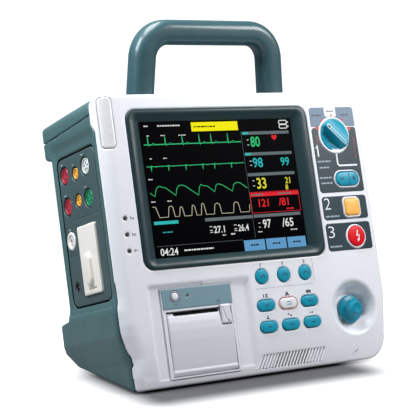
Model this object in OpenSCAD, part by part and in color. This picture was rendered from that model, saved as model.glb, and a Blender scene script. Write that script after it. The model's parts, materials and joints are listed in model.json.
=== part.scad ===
// Portable monitor and defibrillator. The case leans back on a level base.
// Case features are drawn in the leaning frame: X to the right, Y into the case from
// its front plane, Z up the front plane, zero at the middle of the display's height.
// The finished part has +Z up and its origin on the table between the four feet.

/* [Case] */
// Width of the case
case_w = 295; // [291:1:299]
// Width of the case at its lowest edge
base_w = 286; // [276:1:288]
// Height of the front plane above the middle of the display
top_u = 91; // [89:1:94]
// Depth from the front plane to the rear wall
case_d = 109; // [108:1:112]
// Depth from the front plane to the back of the rear hood
hood_d = 122; // [120:1:126]
// Backward lean of the case in degrees
lean_deg = 15; // [14.5:0.5:15.5]
// Wall thickness of the mouldings
wall = 3; // [2.5:0.5:3]
// Depth of the front moulding
front_d = 9; // [8.5:0.5:10]
// Radius of the corners of the case
corner_r = 12; // [10:1:16]

/* [Handle] */
// Distance between the centre lines of the two handle legs
handle_span = 150; // [144:1:156]
// Height of the top of the handle above the table
handle_top = 335.5; // [325:0.5:345]
// Thickness of the handle bar, side to side and in height
bar_w = 24; // [22:0.5:27]
// Depth of the handle bar, front to back
bar_d = 25; // [22:0.5:28]

/* [Display] */
// Width of the lit display
screen_w = 170.4; // [168:0.1:171]
// Height of the lit display
screen_h = 127.8; // [126:0.1:129]
// Width of the display frame
bezel_w = 202; // [200:1:203]
// Height of the display frame
bezel_h = 149; // [147:1:149]

/* [Controls] */
// Radius of the mode knob
mode_r = 16; // [14:0.5:16.5]
// Height of the mode knob in front of the panel
mode_h = 6; // [5:0.5:9]
// Radius of the shock button
shock_r = 10; // [8:0.5:10.5]
// Width of the charge button
charge_w = 17.2; // [14:0.2:17.6]
// Travel of the charge and shock buttons
press_travel = 1.5; // [0.8:0.1:1.6]
// Travel of the keys
key_travel = 1; // [0.5:0.1:1.1]
// Radius of the round keys
soft_r = 7; // [6:0.5:8]
// Width of the long keys
key_w = 20; // [17:0.5:21]
// Height of the long keys
key_h = 11.6; // [10:0.2:12.4]
// Radius of the dish around the navigation knob
dish_r = 26.5; // [25:0.5:27]
// Radius of the navigation knob
nav_r = 14; // [12:0.5:15]

/* [Recorder] */
// Radius of a new paper roll
roll_r = 19.5; // [14:0.5:19.5]
// Width of the paper
paper_w = 50; // [48:0.5:51]

/* [Base] */
// Width of one battery
battery_w = 90; // [80:1:90]
// Height of one battery
battery_h = 20; // [18:0.5:20]
// Height of a rubber foot
foot_h = 4; // [3:0.5:5]
// Radius of a rubber foot
foot_r = 8; // [6:0.5:8]
// Sideways spacing of the feet and of the tray fixing holes in them
foot_w = 200; // [192:1:202]
// Radius of the tray fixing holes
tray_r = 2.1; // [1.6:0.1:2.6]

/* [Fits] */
// Radial clearance of turning shafts
run_gap = 0.06; // [0.03:0.01:0.09]
// Gap around keys, covers and fitted panels
fit_gap = 0.25; // [0.15:0.05:0.3]

/* [Hidden] */
$fn = 48;

// Place of the leaning frame above the table
floor_u = -174.5;
screen_z = foot_h - floor_u;
foot_front_y = -27;
foot_back_y = 56;
screen_y = -(foot_front_y + foot_back_y) / 2;
foot_y = (foot_back_y - foot_front_y) / 2;

// Colours
teal = [0.29, 0.41, 0.43];
white = [0.88, 0.90, 0.92];
dark = [0.19, 0.27, 0.30];
cyan = [0.12, 0.62, 0.78];
black = [0.06, 0.06, 0.07];
steel = [0.72, 0.73, 0.75];
board = [0.10, 0.38, 0.24];

// Case outline in front view
waist_u = -127;
sill_u = -182;
side_x = case_w / 2 - corner_r;
base_x = base_w / 2 - corner_r;
taper = atan2(side_x - base_x, waist_u - sill_u - corner_r);
arc_steps = 6;
edge_w = 8.8;
edge_d = 8.5;

// Case profile in side view: pod_* are level heights and depths behind the display
hood_u = 53;
pod_back = 101;
pod_rise = -142;
pod_fall = -157;
pod_chin = [93, -164];
pod_heel = 66;
pod_crown = -106.4;

// Joint between the housings and the top cover
joint_u = 74.8;
joint_tilt = 2.8;

// Middle of the handle legs behind the display, and the level of their feet
handle_y = 68.5;
leg_foot = 60;
leg_foot_w = 34;
handle_bend = 27;

// Display frame
bezel_x = -17;
bezel_u = 0.5;
screen_x = -19;
bezel_r = 10;
bezel_back = 8;
pane_d = 3.2;
pane_t = 2;
pane_lip = 2.6;

// Control column on the right
label_x = 88;
label_w = 54.5;
label_t = 0.6;
label_1 = [-13.5, 53];
label_2 = [-41, -17];
label_3 = [-72, -44];
band_top = 73.7;
mode_x = 114.6;
mode_u = 44.7;
rocker_x = 122.5;
rocker_u = -0.2;
rocker_w = 27;
rocker_h = 14;
rocker_pin_d = 5.5;
rocker_ear_u = 10;
charge_x = 123.3;
charge_u = -28.9;
shock_u = -58.6;
ring_w = 2;
ring_h = 0.9;
stem_r = 3;

// Keys
soft_x = [5.7, 30.9, 55.9];
soft_u = -89.6;
key_x = [6.1, 31.3, 56.5];
key_row_1 = -117.3;
key_row_2 = -137.8;
key_proud = 1.6;
key_board_d = 8.2;
press_board_d = 12.2;

// Navigation knob
nav_x = 109.5;
nav_u = -129.5;
dish_d = 12;
dish_floor_r = 17;
nav_top = -3.4;
nav_base = 10.5;
nav_travel = 1.2;
encoder_d = 18;

// Speaker and its slanted slots
speaker_x = 27;
speaker_u = -160;
speaker_r = 13.5;
slot_u = -169;
slot_pitch = 3.6;
slot_w = 1.6;
slot_h = 12;
slot_slant = 0.62;

// Recorder
bay = [-119, -11, -177, -88];
bay_d = 3;
unit = [-105, -29.5, -174.4, -92];
unit_d = 1.5;
unit_back = 10.4;
door = [-101.5, -32.4];
door_hinge = [5, -169];
door_barrel = 3.6;
door_top = -114.6;
door_sill = -172.9;
slot_top = -113.4;
pin_r = 1.5;
tub = [-101, -33, -156, -108];
tub_t = 2;
tub_back = 54;
roll_x = -67;
roll_d = 31;
roll_u = -132;
core_r = 6;
platen_d = 8.5;
platen_u = -119.8;
platen_r = 4.8;
ear_x = [-98.8, -37.6];
ear_t = 2.4;
latch = [-44.5, -34.5];
paper_gap = [-94, -46];
latch_pin = [1.7, -127.4];
latch_pin_r = 0.8;
latch_top = -111.2;
latch_tip = -129.5;
latch_notch = -130.3;
feed_x = -90.8;
feed_u = -99.8;
feed_r = 3.4;
lamp_x = -77.6;
lamp_u = -100;
lamp_r = 1.2;
head = [-95, -42];
head_d = [5, 12.5];
head_top = -110.4;

// Alarm lamp and status lamps
lamp = [-143, -131, 40, 95];
led_x = -131.5;
led_u = [-25, -40, -55];
led_r = 1.6;

// Left side panel: positions are [depth, height]
panel = [19, 100, -95, 47.5];
panel_r = 8;
panel_lip = 3;
panel_sink = 2.4;
panel_t = 2.4;
pressure_at = [[88, 31], [88.5, 1]];
temperature_at = [[64, 29], [64, 3]];
oximeter_at = [42, 32];
ecg_at = [42, 2];
cuff_at = [88, -32];
signal_at = [88, -76];
socket_r = 7.6;
jack_r = 5;
socket_len = 16;
socket_sink = 0.6;
gas = [34, 71, -86.5, -21.4];
gas_proud = -0.4;
trap_at = [53, -63];
trap_w = 13;
trap_h = 30;
trap_proud = 3.5;

// Rear and right side
therapy_at = [60, -30];
therapy_r = 15;
inlet_at = [-90, 20];
inlet_w = 48;
inlet_h = 28;
earth_at = [-48, 20];
earth_r = 3;
port = [30, 90, 8, 34];
port_t = 2.4;
fan_at = [60, -50];
fan_w = 60;
fan_d = 91;
fan_t = 14;
fan_gap = 28;
screw_at = [[-134, 44], [134, 44], [-134, -60], [134, -60], [0, 40], [0, -90]];

// Battery bay
bay_wall = 3;
battery_x = 10;
battery_z = 16;
battery_front = 30;
bay_front = 27;

// Internal frame
mid_d = 24;
sheet = 1.5;
mid_x = 112;
post_u = 79.3;
post_x = 100;

// --- Frames and shared shapes ---

// Everything inside is drawn in the leaning frame
module lean() {
  translate([0, screen_y, screen_z]) rotate([-lean_deg, 0, 0]) children();
}

// Everything inside is drawn level, measured from the display's centre
module level() {
  translate([0, screen_y, screen_z]) children();
}

// One copy over each foot
module at_feet() {
  for (x = [-foot_w / 2, foot_w / 2]) for (y = [-foot_y, foot_y]) translate([x, y, 0]) children();
}

// Leaning coordinates [depth, height] of a level point
function leaning(y, z) = [
  y * cos(lean_deg) - z * sin(lean_deg),
  y * sin(lean_deg) + z * cos(lean_deg)
];

// A front-view outline between two depths
module face(d0, d1) {
  translate([0, d1, 0]) rotate([90, 0, 0]) linear_extrude(d1 - d0) children();
}

// A side-view outline between two sideways positions
module side(x0, x1) {
  translate([x0, 0, 0]) rotate([90, 0, 90]) linear_extrude(x1 - x0) children();
}

// A round rod along the depth
module rod(x, u, r, d0, d1) {
  translate([x, d1, u]) rotate([90, 0, 0]) cylinder(r = r, h = d1 - d0);
}

// A round bar across the width; at is [depth, height]
module bar(x0, x1, at, r) {
  translate([x0, at[0], at[1]]) rotate([0, 90, 0]) cylinder(r = r, h = x1 - x0);
}

// A block given by its ends on each axis
module block(x, d, u) {
  translate([x[0], d[0], u[0]]) cube([x[1] - x[0], d[1] - d[0], u[1] - u[0]]);
}

// A rectangle with round corners, centred
module round_rect(w, h, r) {
  square([w - 2 * r, h], center = true);
  square([w, h - 2 * r], center = true);
  for (sx = [-1, 1]) for (sy = [-1, 1])
    translate([sx * (w / 2 - r), sy * (h / 2 - r)]) circle(r = r);
}

// A rounded rectangle given by its ends, grown by some amount
module round_box(ends, r, grow = 0) {
  translate([(ends[0] + ends[1]) / 2, (ends[2] + ends[3]) / 2])
    round_rect(ends[1] - ends[0] + 2 * grow, ends[3] - ends[2] + 2 * grow, r + grow);
}

// A stadium, long side across
module stadium(w, h) {
  square([w - h, h], center = true);
  for (s = [-1, 1]) translate([s * (w - h) / 2, 0]) circle(d = h);
}

function arc(x, y, r, from, to) = [
  for (i = [0:arc_steps]) let (a = from + (to - from) * i / arc_steps)
    [x + r * cos(a), y + r * sin(a)]
];

function half_outline(inset) = concat(
  arc(base_x, sill_u + corner_r, corner_r - inset, -90, -taper),
  arc(side_x, waist_u, corner_r - inset, -taper, 0),
  arc(side_x, top_u - corner_r, corner_r - inset, 0, 90)
);

function flipped(points) = [
  for (i = [len(points) - 1:-1:0]) [-points[i][0], points[i][1]]
];

module case_outline(inset) {
  right_half = half_outline(inset);
  polygon(concat(right_half, flipped(right_half)));
}

module case_profile() {
  polygon([
    [0, top_u - 6], [1.8, top_u - 1.8], [6, top_u],
    [hood_d - 6, top_u - 5.5], [hood_d - 1.8, top_u - 7.5], [hood_d, top_u - 12],
    [hood_d, hood_u + 6], [hood_d - 5, hood_u], [case_d, hood_u - 4],
    [case_d, pod_crown],
    leaning(pod_back - 3, pod_rise + 2.5),
    leaning(pod_back, pod_rise - 1),
    leaning(pod_back, pod_fall),
    leaning(pod_chin[0], pod_chin[1]),
    leaning(pod_heel, floor_u),
    leaning(-44, floor_u),
    [0, sill_u + 6]
  ]);
}

module case_plan() {
  front_x = case_w / 2 - edge_w;
  polygon([
    [-front_x, 0], [front_x, 0], [case_w / 2, edge_d], [case_w / 2, 160],
    [-case_w / 2, 160], [-case_w / 2, edge_d]
  ]);
}

// The whole case as one solid, shrunk by inset
module case_solid(inset) {
  intersection() {
    face(-5, 160) case_outline(inset);
    side(-160, 160) offset(delta = -inset) case_profile();
    translate([0, 0, -200]) linear_extrude(320) offset(delta = -inset) case_plan();
  }
}

// The region above the joint of the top cover
module above_joint(gap = 0) {
  translate([-200, 0, joint_u + gap]) rotate([-joint_tilt, 0, 0]) cube([400, 200, 60]);
}

// The level bay that holds the batteries
module battery_room(x_side, gap) {
  x0 = battery_x - gap;
  x1 = battery_x + battery_w + gap;
  z0 = battery_z + floor_u - foot_h - gap;
  level() block(
    x_side > 0 ? [x0, x1] : [-x1, -x0],
    [battery_front - gap, pod_back + 20],
    [z0, z0 + battery_h + 2 * gap]
  );
}

// --- Mouldings ---

module label_shapes(grow) {
  for (ends = [label_1, label_2, label_3])
    round_box([label_x, label_x + label_w, ends[0], ends[1]], 2, grow);
}

module band_shape(grow) {
  round_box([label_x, label_x + label_w, label_1[1] + 0.6, band_top], 2, grow);
}

// Raised rims around the therapy controls
module control_rims(grow) {
  translate([mode_x, mode_u]) circle(r = mode_r + 2.5 + grow);
  translate([rocker_x, rocker_u]) stadium(rocker_w + 4.5 + 2 * grow, rocker_h + 3 + 2 * grow);
  translate([charge_x, charge_u])
    round_rect(charge_w + 4.3 + 2 * grow, charge_w + 3.3 + 2 * grow, 4 + grow);
  translate([charge_x, shock_u]) circle(r = shock_r + 1.8 + grow);
}

module control_holes() {
  translate([mode_x, mode_u]) circle(r = stem_r + 0.4);
  translate([rocker_x, rocker_u]) stadium(rocker_w + 1.6, rocker_h + 1);
  translate([charge_x, charge_u])
    round_rect(charge_w + 2 * fit_gap, charge_w - 0.6 + 2 * fit_gap, 3);
  translate([charge_x, shock_u]) circle(r = shock_r + fit_gap);
  for (x = soft_x) translate([x, soft_u]) circle(r = soft_r + fit_gap);
  for (x = key_x) for (u = [key_row_1, key_row_2])
    translate([x, u]) stadium(key_w + 2 * fit_gap, key_h + 2 * fit_gap);
  for (u = led_u) translate([led_x, u]) circle(r = led_r + 0.1);
}

module speaker_slots() {
  for (i = [-9:9]) translate([speaker_x + i * slot_pitch, slot_u])
    multmatrix([[1, slot_slant, 0, 0], [0, 1, 0, 0]]) square([slot_w, slot_h], center = true);
}

module front_housing() {
  color(white) lean() difference() {
    union() {
      intersection() {
        difference() {
          case_solid(0);
          case_solid(wall);
        }
        block([-160, 160], [-5, front_d], [-200, 120]);
      }
      intersection() {
        case_solid(0);
        block([bay[0] - 2, bay[1] + 2], [0, bay_d + 3], [-200, bay[3] + 2]);
      }
      translate([nav_x, dish_d + 2.5, nav_u]) rotate([90, 0, 0])
        cylinder(r1 = dish_floor_r + 3, r2 = dish_r + 3, h = dish_d + 0.5);
      face(-ring_h, 1) control_rims(0);
      for (s = [-1, 1])
        block([rocker_x - 3.5, rocker_x + 3.5], [wall - 0.5, 9],
          [rocker_u + s * rocker_ear_u - 1.4, rocker_u + s * rocker_ear_u + 1.4]);
      for (x = [-post_x, post_x]) for (u = [-post_u, post_u])
        rod(x, u, 3.6, wall - 0.5, mid_d);
    }
    // display frame
    face(-2, wall + 1) translate([bezel_x, bezel_u])
      round_rect(bezel_w + 2 * fit_gap, bezel_h + 2 * fit_gap, bezel_r);
    // inlaid labels, leaving the rims standing
    difference() {
      face(-2, wall) {
        label_shapes(0.1);
        band_shape(0.1);
      }
      case_solid(label_t);
      face(-3, wall + 1) control_rims(0);
    }
    face(-2, wall + 1) control_holes();
    face(-2, wall + 1) speaker_slots();
    translate([rocker_x, rocker_pin_d, rocker_u])
      cylinder(r = pin_r + run_gap, h = 4 * rocker_ear_u, center = true);
    // navigation dish
    translate([nav_x, dish_d, nav_u]) rotate([90, 0, 0])
      cylinder(r1 = dish_floor_r, r2 = dish_r, h = dish_d);
    rod(nav_x, nav_u, dish_r, -1, 0);
    rod(nav_x, nav_u, stem_r + 0.4, -1, dish_d + 5);
    // recorder bay and the opening for the recorder
    block([bay[0], bay[1]], [-1, bay_d], [bay[2], bay[3]]);
    block([unit[0] - fit_gap, unit[1] + fit_gap], [-1, 12], [unit[2] - fit_gap, unit[3] + fit_gap]);
    // alarm lamp
    block([lamp[0] - 0.15, lamp[1] + 0.15], [-5, edge_d - 0.5], [lamp[2] - 0.15, 120]);
    // screw holes in the posts
    for (x = [-post_x, post_x]) for (u = [-post_u, post_u]) rod(x, u, 1.4, 12, mid_d + 1);
  }
}

module side_window(grow) {
  round_box(panel, panel_r, grow);
}

module rear_housing() {
  color(teal) difference() {
    union() {
      lean() difference() {
        case_solid(0);
        case_solid(wall);
      }
      intersection() {
        lean() case_solid(0);
        level() block([-battery_x - battery_w - bay_wall, battery_x + battery_w + bay_wall],
          [bay_front, pod_back + 5],
          [floor_u, battery_z + floor_u - foot_h + battery_h + bay_wall]);
      }
      // bosses over the tray fixing holes
      at_feet() translate([0, 0, foot_h]) cylinder(r = 5, h = 10);
      lean() for (at = screw_at) rod(at[0], at[1], 4.5, case_d - 14, case_d - 1);
    }
    lean() block([-160, 160], [-10, front_d], [-200, 120]);
    lean() above_joint();
    // left side window
    lean() side(-150, -100) side_window(0);
    // right side connector
    lean() bar(100, 160, therapy_at, therapy_r + 0.1);
    // rear openings
    lean() face(90, 115) {
      translate(inlet_at) square([inlet_w + 0.2, inlet_h + 0.2], center = true);
      translate(earth_at) circle(r = earth_r + 0.05);
      translate([(port[0] + port[1]) / 2, (port[2] + port[3]) / 2])
        square([port[1] - port[0] + 2 * fit_gap, port[3] - port[2] + 2 * fit_gap], center = true);
      for (i = [-4:4]) translate([fan_at[0] + i * 6, fan_at[1]])
        square([2.6, 2 * sqrt(pow(26, 2) - pow(i * 6, 2))], center = true);
    }
    lean() bar(port[0] - 2, port[1] + 2, [case_d - port_t / 2, port[3] - 1.4], 0.8 + run_gap);
    // screws
    lean() for (at = screw_at) {
      rod(at[0], at[1], 3.5, case_d - 3, case_d + 1);
      rod(at[0], at[1], 1.7, 90, case_d + 1);
    }
    // batteries
    for (s = [-1, 1]) battery_room(s, fit_gap);
    // tray fixing holes
    at_feet() translate([0, 0, foot_h - 1]) cylinder(r = tray_r, h = 9);
  }
}

module leg_section(grow) {
  round_rect(bar_w + 2 * grow, bar_d + 2 * grow, 9 + grow);
}

module top_cover() {
  color(teal) difference() {
    lean() intersection() {
      difference() {
        case_solid(0);
        case_solid(wall);
      }
      above_joint();
      block([-160, 160], [front_d, 160], [0, 120]);
    }
    level() for (s = [-1, 1]) translate([s * handle_span / 2, handle_y, leg_foot - 10])
      linear_extrude(60) leg_section(fit_gap);
  }
}

module handle() {
  bend = handle_bend;
  bar_z = handle_top - screen_z - bar_w / 2;
  half = handle_span / 2;
  color(teal) level() translate([0, handle_y, 0]) {
    for (s = [-1, 1]) {
      translate([s * half, 0, leg_foot]) linear_extrude(bar_z - bend - leg_foot) leg_section(0);
      translate([s * half - leg_foot_w / 2, -leg_foot_w / 2, leg_foot - 4])
        cube([leg_foot_w, leg_foot_w, 4]);
      translate([s * (half - bend), 0, bar_z - bend]) rotate([90, 0, 0])
        rotate([0, 0, s > 0 ? 0 : 90]) rotate_extrude(angle = 90)
          translate([bend, 0]) leg_section(0);
    }
    translate([-half + bend, 0, bar_z]) rotate([0, 90, 0])
      linear_extrude(2 * (half - bend)) leg_section(0);
  }
}

module screen_bezel() {
  color(dark) lean() difference() {
    face(-1.4, bezel_back) translate([bezel_x, bezel_u]) round_rect(bezel_w, bezel_h, bezel_r);
    face(-2, bezel_back + 1) translate([screen_x, 0]) square([screen_w, screen_h], center = true);
    face(pane_d, bezel_back + 1) translate([screen_x, 0])
      square([screen_w + 2 * pane_lip + 0.4, screen_h + 2 * pane_lip + 0.4], center = true);
  }
}

module display_window() {
  color(black) lean() face(pane_d, pane_d + pane_t) translate([screen_x, 0])
    square([screen_w + 2 * pane_lip, screen_h + 2 * pane_lip], center = true);
}

module lcd_panel() {
  color(steel) lean() face(bezel_back + 0.2, bezel_back + 8) translate([screen_x, 0])
    round_rect(192, 144, 3);
}

module alarm_lamp() {
  color([0.75, 0.77, 0.80]) lean() intersection() {
    difference() {
      case_solid(-0.3);
      case_solid(2.6);
    }
    block([lamp[0], lamp[1]], [-5, edge_d - 0.8], [lamp[2], 120]);
  }
}

module control_label() {
  color(dark) lean() difference() {
    intersection() {
      difference() {
        case_solid(-0.2);
        case_solid(label_t);
      }
      face(-2, wall) {
        label_shapes(0);
        band_shape(0);
      }
    }
    face(-3, wall + 1) control_rims(0.05);
  }
}

// --- Therapy controls ---

module mode_knob() {
  skirt = -ring_h - 0.4;
  color(cyan) lean() {
    rod(mode_x, mode_u, mode_r, skirt - 1.5, skirt);
    rod(mode_x, mode_u, stem_r, skirt - 1, 15);
    translate([mode_x, 0, mode_u]) rotate([0, -45, 0]) intersection() {
      rod(0, 0, mode_r - 0.8, -mode_h, skirt - 1);
      block([-6, 6], [-mode_h, 0], [-mode_r, mode_r]);
    }
  }
}

module mode_switch() {
  color(dark) lean() difference() {
    block([mode_x - 12, mode_x + 12], [9, 23], [mode_u - 12, mode_u + 12]);
    rod(mode_x, mode_u, stem_r + run_gap, 8, 16);
  }
}

module energy_rocker() {
  color(cyan) lean() {
    face(-2.2, 4) translate([rocker_x, rocker_u]) stadium(rocker_w, rocker_h);
    block([rocker_x - 3, rocker_x + 3], [3.5, 7.5], [rocker_u - 7, rocker_u + 7]);
    translate([rocker_x, rocker_pin_d, rocker_u]) cylinder(r = pin_r, h = 22, center = true);
  }
}

module charge_button() {
  color([1, 0.69, 0.28]) lean() {
    face(-2.6, 4) translate([charge_x, charge_u]) round_rect(charge_w, charge_w - 0.6, 2.8);
    face(3.6, 5.4) translate([charge_x, charge_u]) round_rect(charge_w + 2, charge_w + 1.4, 3);
    rod(charge_x, charge_u, stem_r, 5, press_board_d - press_travel - 0.3);
  }
}

module shock_button() {
  color([0.9, 0.1, 0.12]) lean() {
    rod(charge_x, shock_u, shock_r, -2.6, 4);
    rod(charge_x, shock_u, shock_r + 1, 3.6, 5.4);
    rod(charge_x, shock_u, stem_r, 5, press_board_d - press_travel - 0.3);
  }
}

// --- Keys ---

module soft_key(x) {
  color(cyan) lean() {
    rod(x, soft_u, soft_r, -key_proud, 4);
    rod(x, soft_u, soft_r + 0.9, 3.6, 5);
    rod(x, soft_u, 2.5, 4.5, key_board_d - key_travel - 0.2);
  }
}

module hard_key(x, u, tint) {
  color(tint) lean() {
    face(-key_proud, 4) translate([x, u]) stadium(key_w, key_h);
    face(3.6, 5) translate([x, u]) stadium(key_w + 1.8, key_h + 1.8);
    rod(x, u, 2.5, 4.5, key_board_d - key_travel - 0.2);
  }
}

module soft_key_1() { soft_key(soft_x[0]); }
module soft_key_2() { soft_key(soft_x[1]); }
module soft_key_3() { soft_key(soft_x[2]); }
module hard_key_1() { hard_key(key_x[0], key_row_1, cyan); }
module hard_key_2() { hard_key(key_x[1], key_row_1, white); }
module hard_key_3() { hard_key(key_x[2], key_row_1, cyan); }
module hard_key_4() { hard_key(key_x[0], key_row_2, cyan); }
module hard_key_5() { hard_key(key_x[1], key_row_2, cyan); }
module hard_key_6() { hard_key(key_x[2], key_row_2, cyan); }

module keypad_board() {
  color(board) lean() {
    block([-6, 70], [key_board_d, key_board_d + 1.6], [-142.5, -81]);
    block([92, 136], [press_board_d, press_board_d + 1.6], [-72, 22]);
  }
}

module nav_knob() {
  color(cyan) lean() translate([nav_x, 0, nav_u]) rotate([-90, 0, 0]) rotate_extrude()
    polygon([
      [0, nav_top], [6.3, nav_top], [7, nav_top + 0.8], [7.6, 2], [9.5, 4.6],
      [nav_r - 1, 6.2], [nav_r, 7.6], [nav_r, nav_base], [stem_r + run_gap, nav_base],
      [stem_r + run_gap, -1.3], [0, -1.3]
    ]);
}

module nav_plunger() {
  color(steel) lean() {
    rod(nav_x, nav_u, stem_r, -1.2, encoder_d + 4);
    rod(nav_x, nav_u, 4.5, dish_d + 2.7, dish_d + 4.2);
  }
}

module nav_encoder() {
  color(dark) lean() difference() {
    block([nav_x - 8, nav_x + 8], [encoder_d, encoder_d + 12], [nav_u - 8, nav_u + 8]);
    rod(nav_x, nav_u, stem_r + run_gap, encoder_d - 1, encoder_d + 7);
  }
}

module speaker() {
  color(black) lean() difference() {
    union() {
      rod(speaker_x, speaker_u, speaker_r, 4.2, 7);
      rod(speaker_x, speaker_u, 10, 6, 15);
    }
    translate([speaker_x, 8.2, speaker_u]) rotate([90, 0, 0])
      cylinder(r1 = 4, r2 = speaker_r - 1.5, h = 5);
  }
}

// --- Recorder ---

module recorder_frame() {
  boss_in = 1.2;
  color(white) lean() {
    difference() {
      union() {
        block([unit[0], unit[1]], [unit_d, unit_back], [unit[2], unit[3]]);
        block([tub[0], tub[1]], [unit_back - 1, tub_back], [tub[2], tub[3]]);
      }
      block([door[0] - 0.5, door[1] + 0.5], [-1, unit_back - 1.4], [door_sill, slot_top]);
      block([tub[0] + tub_t, tub[1] - tub_t], [-1, tub_back - tub_t], [tub[2] + tub_t, slot_top]);
      block([tub[0] + tub_t, tub[1] - tub_t], [unit_back, tub_back - tub_t],
        [tub[2] + tub_t, tub[3] - tub_t]);
      bar(door[0] - 3, door[1] + 3, door_hinge, pin_r + run_gap);
      block([latch[0] - 0.4, latch[1] + 0.4], [-1, 5.5], [-115, latch_top + 1.3]);
      rod(feed_x, feed_u, feed_r + 0.15, -1, 12);
      rod(lamp_x, lamp_u, lamp_r + 0.1, -1, 12);
      block([head[0] - 1, head[1] + 1], [head_d[0] - 1, unit_back + 1], [slot_top - 1, head_top + 0.2]);
    }
    // bosses that carry the paper roll
    bar(tub[0] + tub_t - 1, roll_x - paper_w / 2 + boss_in, [roll_d, roll_u], core_r - 0.08);
    bar(roll_x + paper_w / 2 - boss_in, tub[1] - tub_t + 1, [roll_d, roll_u], core_r - 0.08);
  }
}

module recorder_door() {
  color(white) lean() difference() {
    union() {
      side(door[0], door[1]) polygon([
        [1.7, door_hinge[1]], [1.7, -166.5], [0.4, -163.5], [0.4, -122], [1.6, -117.4],
        [4, door_top], [5.2, door_top], [3.2, -118], [2.6, -122], [3, -126], [3.4, door_hinge[1]]
      ]);
      bar(door[0], door[1], door_hinge, door_barrel);
      bar(door[0] - 2.2, door[1] + 2.2, door_hinge, pin_r);
      // ears that carry the platen roller
      for (x = ear_x) side(x, x + ear_t) polygon([
        [1.5, -142], [12, -121], [12, -117], [5.5, door_top - 0.1], [3.4, -116.4],
        [3.4, -131], [1.5, -131.5]
      ]);
    }
    block([latch[0] - 0.4, latch[1] + 0.4], [-1, 3.35], [latch_notch, -100]);
    bar(latch[0] - 1.6, latch[1] + 1.6, latch_pin, latch_pin_r + run_gap);
    block(paper_gap, [-1, 7], [door_top - 2.6, door_top + 1]);
    bar(ear_x[0] - 1, ear_x[1] + ear_t + 1, [platen_d, platen_u], pin_r + run_gap);
  }
}

module recorder_latch() {
  color(white) lean() {
    side(latch[0], latch[1]) polygon([
      [-0.8, latch_top - 1], [-0.8, latch_tip + 1], [0, latch_tip], [2.4, latch_tip],
      [2.4, latch_top], [0.2, latch_top]
    ]);
    bar(latch[0] - 1.3, latch[1] + 1.3, latch_pin, latch_pin_r);
  }
}

module paper_roll() {
  color([0.95, 0.95, 0.93]) lean() difference() {
    bar(roll_x - paper_w / 2, roll_x + paper_w / 2, [roll_d, roll_u], roll_r);
    bar(roll_x - paper_w, roll_x + paper_w, [roll_d, roll_u], core_r);
  }
}

module platen_roller() {
  color(black) lean() {
    bar(ear_x[0] + ear_t + 0.2, ear_x[1] - 0.2, [platen_d, platen_u], platen_r);
    bar(ear_x[0] + 0.2, ear_x[1] + ear_t - 0.2, [platen_d, platen_u], pin_r);
  }
}

module print_head() {
  color(steel) lean() block(head, head_d, [slot_top - 0.8, head_top]);
}

module feed_button() {
  color(white) lean() {
    rod(feed_x, feed_u, feed_r, 0.3, unit_back + 0.6);
    rod(feed_x, feed_u, feed_r + 1.2, unit_back + 0.4, unit_back + 1.4);
  }
}

module status_lamps() {
  color([0.1, 0.12, 0.12]) lean() {
    for (u = led_u) rod(led_x, u, led_r, -0.2, 7);
    rod(lamp_x, lamp_u, lamp_r, unit_d - 0.3, unit_back);
  }
}

// --- Left side panel; its outer plane is sunk a little below the case side ---

module side_panel() {
  outer = -case_w / 2 + panel_sink;
  inner = -case_w / 2 + wall;
  color(dark) lean() difference() {
    union() {
      side(outer, inner + 1) side_window(-fit_gap);
      side(inner + 0.1, inner + 0.1 + panel_t) side_window(panel_lip);
      for (at = concat(pressure_at, [oximeter_at, ecg_at])) bar(inner, -135, at, socket_r + 2);
      for (at = temperature_at) bar(inner, -135, at, jack_r + 2);
    }
    for (at = concat(pressure_at, [oximeter_at, ecg_at])) {
      bar(-150, -130, at, socket_r + 0.05);
      bar(-150, outer + 1.4, at, socket_r + 1.1);
    }
    for (at = temperature_at) {
      bar(-150, -130, at, jack_r + 0.05);
      bar(-150, outer + 1.4, at, jack_r + 1.2);
    }
    bar(-150, -130, cuff_at, 7.05);
    bar(-150, -130, signal_at, 3.5);
    bar(-150, outer + 1, signal_at, 5);
    side(-150, -130) round_box(gas, 1, fit_gap);
  }
}

// One cable socket with its contact holes
module socket(at, r, pins) {
  front = -case_w / 2 + panel_sink + socket_sink;
  back = front + socket_len;
  difference() {
    bar(front, back, at, r);
    bar(-150, front + 3.1, at, r - 1.3);
  }
  difference() {
    bar(front + 0.7, back - 2, at, r - 1.2);
    for (i = [1:pins])
      translate([0, cos(i * 360 / pins) * r * 0.5, sin(i * 360 / pins) * r * 0.5])
        bar(-150, front + 4, at, r * 0.12);
  }
}

module pressure_sockets() {
  color([0.72, 0.16, 0.22]) lean() for (at = pressure_at) socket(at, socket_r, 5);
}

module temperature_sockets() {
  color([0.95, 0.66, 0.18]) lean() for (at = temperature_at) socket(at, jack_r, 3);
}

module oximeter_socket() {
  color([0.85, 0.87, 0.87]) lean() socket(oximeter_at, socket_r, 5);
}

module ecg_socket() {
  color([0.10, 0.55, 0.35]) lean() socket(ecg_at, socket_r, 6);
}

module cuff_port() {
  outer = -case_w / 2 + panel_sink;
  color([0.93, 0.93, 0.93]) lean() difference() {
    union() {
      bar(outer - 1.2, outer - 0.02, cuff_at, 8.8);
      bar(outer - 0.1, -128, cuff_at, 7);
    }
    bar(-150, -136, cuff_at, 2.6);
  }
}

module gas_module() {
  outer = -case_w / 2 - gas_proud;
  color([0.93, 0.92, 0.90]) lean() difference() {
    union() {
      side(outer, -case_w / 2 + 8) round_box(gas, 1);
      block([-case_w / 2 + 7, -100], [gas[0], gas[1]], [gas[2], gas[3]]);
    }
    side(outer - 1, outer + 20) translate(trap_at) rotate(90) stadium(trap_h + 0.5, trap_w + 0.5);
  }
}

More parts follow.
